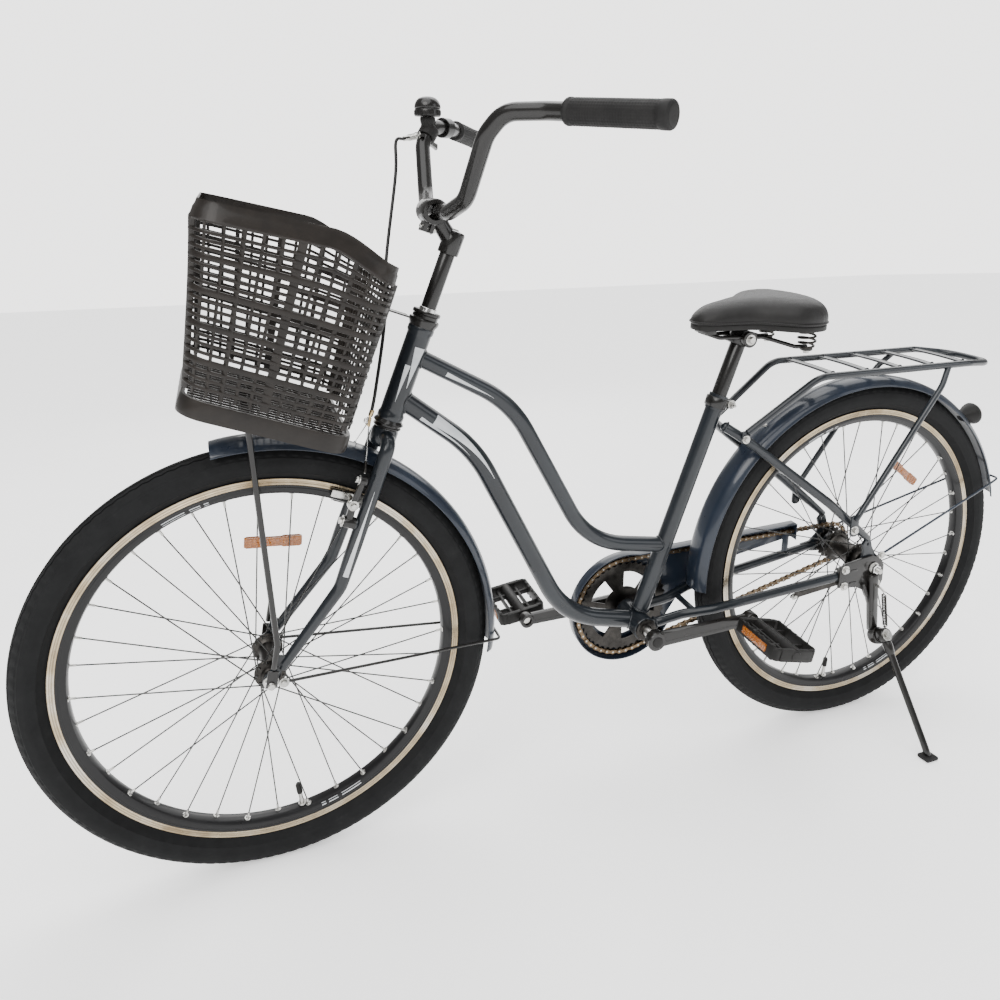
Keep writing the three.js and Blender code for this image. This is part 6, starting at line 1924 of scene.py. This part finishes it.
def make_saddle():
    outline = saddle_outline()
    n = len(outline)
    rings = []
    for inset, share in ((5.0, 0.0), (1.4, 0.14), (0.6, 0.34), (2.2, 0.55), (8, 0.78), (18, 0.92),
                         (32, 0.985), (46, 1.0)):
        loop = scaled_outline(outline, min(inset, 26))
        if inset > 26:
            shrink = 1 - (inset - 26) / 70
            loop = loop * np.array([shrink, shrink]) + np.array([215 * (1 - shrink), 0])
        ring = []
        for x, y in loop:
            top = saddle_top(x)
            bottom = COVER_Z + saddle_arch(x)
            crown = 1 - 0.14 * (y / 100) ** 2 * share
            ring.append((x, y, bottom + (top - bottom) * share * crown))
        rings.append(ring)
    verts = np.array([p for ring in rings for p in ring], float)
    faces = grid_faces(len(rings), n)
    faces.append(tuple(range(n))[::-1])
    faces.append(tuple(range((len(rings) - 1) * n, len(rings) * n)))
    piece = Piece("saddle_cover", "saddle", "saddle_vinyl", VINYL, replaces=("saddle",))
    cover = piece.add((verts, faces)).make(sharp=180)
    inflate(cover, PAD_VOXEL, PAD_CAP, PAD_PRESSURE)

    trim = Piece("saddle_piping", "saddle", "saddle_vinyl", VINYL, SATIN)
    loop = scaled_outline(outline, 1.6)
    seam = np.array([v3(x, y, SEAM_Z + saddle_arch(x)) for x, y in loop])
    trim.add(sweep(seam, circle(1.7, 12), loop=True, up=Z))
    low_loop = scaled_outline(outline, 4.2)
    pan = np.array([v3(x, y, EDGE_Z + saddle_arch(x)) for x, y in low_loop])
    trim.add(sweep(pan, slab(8.6, 3.2, 1.2, 3), loop=True, up=Z), 1)
    trim.make(sharp=60)

    base = Piece("saddle_base", "saddle", "black_plastic", SATIN)
    flat = scaled_outline(outline, 6)
    base.add(plate(flat.tolist(), 3.6, lambda u, v, w: v3(u, v, PAN_Z + saddle_arch(u) + w), 0.8))
    base.make(sharp=40)

    under = Piece("saddle_rails", "saddle", "black_paint", BLACK, ZINC, DARK_STEEL,
                  replaces=("saddle_frame",))
    for side in (1, -1):
        rail = [v3(352, side * 8, 776), v3(330, side * 16, 768), v3(250, side * 22, 766),
                v3(205, side * 47, 752),
                v3(185, side * 50, 752)]
        under.add(pipe(rail, 3.5, 20, 20, 4, dome=1))
        spring_low, spring_high = 750.5, 780.0
        coil, turns = [], 3.6
        for k in range(90):
            s = k / 89
            a = 2 * math.pi * turns * s
            r = 12.2 - 2.2 * math.cos(2 * math.pi * s) * 0.6
            coil.append(v3(185 + r * math.cos(a), side * 50 + r * math.sin(a),
                           spring_low + (spring_high - spring_low) * s))
        under.add(sweep(np.array(coil), circle(1.9, 14), dome=0.8), 2)
        spot = v3(185, side * 50, 0)
        under.add(rod(spot + Z * 746, spot + Z * 750, 10, 28))
        under.add(bolt(spot + Z * 746.2, -Z, 9, 4.2), 1)
        under.add(rod(spot + Z * 778.5, spot + Z * 781.5, 12.6, 28))
    top = seat_at(SEAT_TUBE + 98)
    ring = [(12.8, -11), (17.4, -11), (18.2, -10), (18.2, 10), (17.4, 11), (12.8, 11)]
    under.add(lathe(ring, v3(top[0], 0, 762), SEAT_DIR, 40))
    for side in (1, -1):
        under.add(lathe([(4, -5), (12.6, -5), (13.4, -4), (13.4, 4), (12.6, 5), (4, 5)],
                        v3(top[0], side * 24, 764), Y, 36))
        under.add(bolt(v3(top[0], side * 29, 764), Y, 10, 5), 1)
    under.add(rod(v3(top[0], -29, 764), v3(top[0], 29, 764), 3.8, 20), 1)
    under.add(block((18, 38, 8), v3(346, 0, 778), 2.2))
    under.make(sharp=44)

    post = Piece("seat_post_tube", "saddle", "black_paint", BLACK, replaces=("seat_post",))
    post.add(rod(seat_at(SEAT_TUBE - 130), seat_at(SEAT_TUBE + 112), 12.5, 40, soften=1.4))
    for k in range(4):
        spot = seat_at(SEAT_TUBE + 14 + k * 7)
        post.add(lathe([(12.3, -0.5), (12.62, -0.2), (12.62, 0.2), (12.3, 0.5)], spot, SEAT_DIR, 48))
    post.make()


def inflate(obj, voxel, cap, pressure):
    """Pads a closed cover by cloth simulation, holding each point within cap metres of its place."""
    source = obj.data.copy()
    work = bpy.data.objects.new(obj.name + "_work", source)
    bpy.context.scene.collection.objects.link(work)
    remesh = work.modifiers.new("voxels", "REMESH")
    remesh.mode, remesh.voxel_size, remesh.use_smooth_shade = "VOXEL", voxel, True
    relax = work.modifiers.new("relax", "SMOOTH")
    relax.factor, relax.iterations = 0.5, 6
    graph = bpy.context.evaluated_depsgraph_get()
    dense = bpy.data.meshes.new_from_object(work.evaluated_get(graph))
    work.modifiers.clear()
    work.data = dense
    rest = np.zeros(len(dense.vertices) * 3)
    dense.vertices.foreach_get("co", rest)
    rest = rest.reshape(-1, 3)
    cloth = work.modifiers.new("pad", "CLOTH")
    cloth.settings.quality = 5
    cloth.settings.use_pressure = True
    cloth.settings.uniform_pressure_force = pressure
    cloth.settings.effector_weights.gravity = 0
    cloth.settings.tension_stiffness = cloth.settings.compression_stiffness = 30
    cloth.settings.bending_stiffness = 1.5
    group = work.vertex_groups.new(name="pinned")
    floor_z = np.percentile((rest - SHIFT) @ TURN[:, 2], 4)
    low_points = np.nonzero((rest - SHIFT) @ TURN[:, 2] < floor_z + 0.002)[0]
    group.add(low_points.tolist(), 1.0, "REPLACE")
    cloth.settings.vertex_group_mass = "pinned"
    scene = bpy.context.scene
    for step in range(1, 21):
        scene.frame_set(step)
    graph = bpy.context.evaluated_depsgraph_get()
    moved = np.zeros(len(rest) * 3)
    work.evaluated_get(graph).data.vertices.foreach_get("co", moved)
    shift = moved.reshape(-1, 3) - rest
    size = np.linalg.norm(shift, axis=1)[:, None]
    shift *= np.minimum(1, cap / np.maximum(size, 1e-9))
    work.modifiers.clear()
    dense.vertices.foreach_set("co", (rest + shift).ravel())
    scene.frame_set(1)
    for m in list(source.materials):
        if m.name not in [x.name for x in dense.materials if x]:
            dense.materials.append(m)
    dense.polygons.foreach_set("use_smooth", [True] * len(dense.polygons))
    obj.data = dense
    smooth = obj.modifiers.new("surface", "SUBSURF")
    smooth.levels = smooth.render_levels = 1
    bpy.data.objects.remove(work)


make_chainring()
make_chain()
make_case()
make_crank(1, "left")
make_crank(-1, "right")
make_pedal(1, "left", -14)
make_pedal(-1, "right", 8)
make_crank_axle()
make_stand()
make_saddle()


# ------------------------------------------------------------------------- floor, light and end
def make_stage():
    look = Look("floor", roughness=0.85)
    socket(look.shader, "Emission Color", (1.0, 1.0, 1.0, 1.0))
    socket(look.shader, "Emission Strength", 0.5)
    look.colour(look.ramp(look.noise(3, 3), (0.3, (0.94, 0.94, 0.94)), (0.7, (0.97, 0.97, 0.97))))
    mesh = bpy.data.meshes.new("floor")
    mesh.from_pydata([(-40, -40, 0), (40, -40, 0), (40, 40, 0), (-40, 40, 0)], [], [(0, 1, 2, 3)])
    mesh.materials.append(look.mat)
    floor = bpy.data.objects.new("floor", mesh)
    bpy.context.scene.collection.objects.link(floor)

    world = bpy.data.worlds.new("studio")
    world.use_nodes = True
    tree = world.node_tree
    back = tree.nodes["Background"]
    back.inputs["Color"].default_value = (1.0, 0.99, 0.98, 1)
    path = tree.nodes.new("ShaderNodeLightPath")
    level = tree.nodes.new("ShaderNodeMapRange")
    socket(level, "To Min", 0.42)
    socket(level, "To Max", 3.0)
    tree.links.new(path.outputs["Is Camera Ray"], level.inputs["Value"])
    tree.links.new(level.outputs["Result"], back.inputs["Strength"])
    bpy.context.scene.world = world

    for name, tilt, energy in (("sun_front", (0.55, -0.35, 0.0), 3.3), ("sun_back", (-0.5, 0.5, 0.0), 2.8)):
        data = bpy.data.lights.new(name, "SUN")
        data.energy, data.angle = energy, math.radians(70)
        lamp = bpy.data.objects.new(name, data)
        lamp.rotation_euler = tilt
        bpy.context.scene.collection.objects.link(lamp)

    for name, spot, aim, size, power, tint in (
            ("key", (-2.6, -3.2, 3.4), (0, 0, 0.5), 2.6, 75, (1, 0.98, 0.95)),
            ("fill", (3.4, -2.8, 2.2), (0.2, 0, 0.5), 2.2, 30, (0.95, 0.97, 1)),
            ("top", (0.2, 0.6, 4.2), (0, 0, 0.4), 3.0, 45, (1, 1, 1)),
            ("back", (0.5, 3.8, 2.4), (0, 0, 0.6), 2.4, 30, (1, 0.99, 0.97))):
        data = bpy.data.lights.new(name, "AREA")
        data.shape, data.size, data.energy, data.color = "DISK", size, power, tint
        lamp = bpy.data.objects.new(name, data)
        lamp.location = spot
        lamp.rotation_mode = "QUATERNION"
        lamp.rotation_quaternion = (Vector(aim) - Vector(spot)).to_track_quat("-Z", "Y")
        bpy.context.scene.collection.objects.link(lamp)


make_stage()
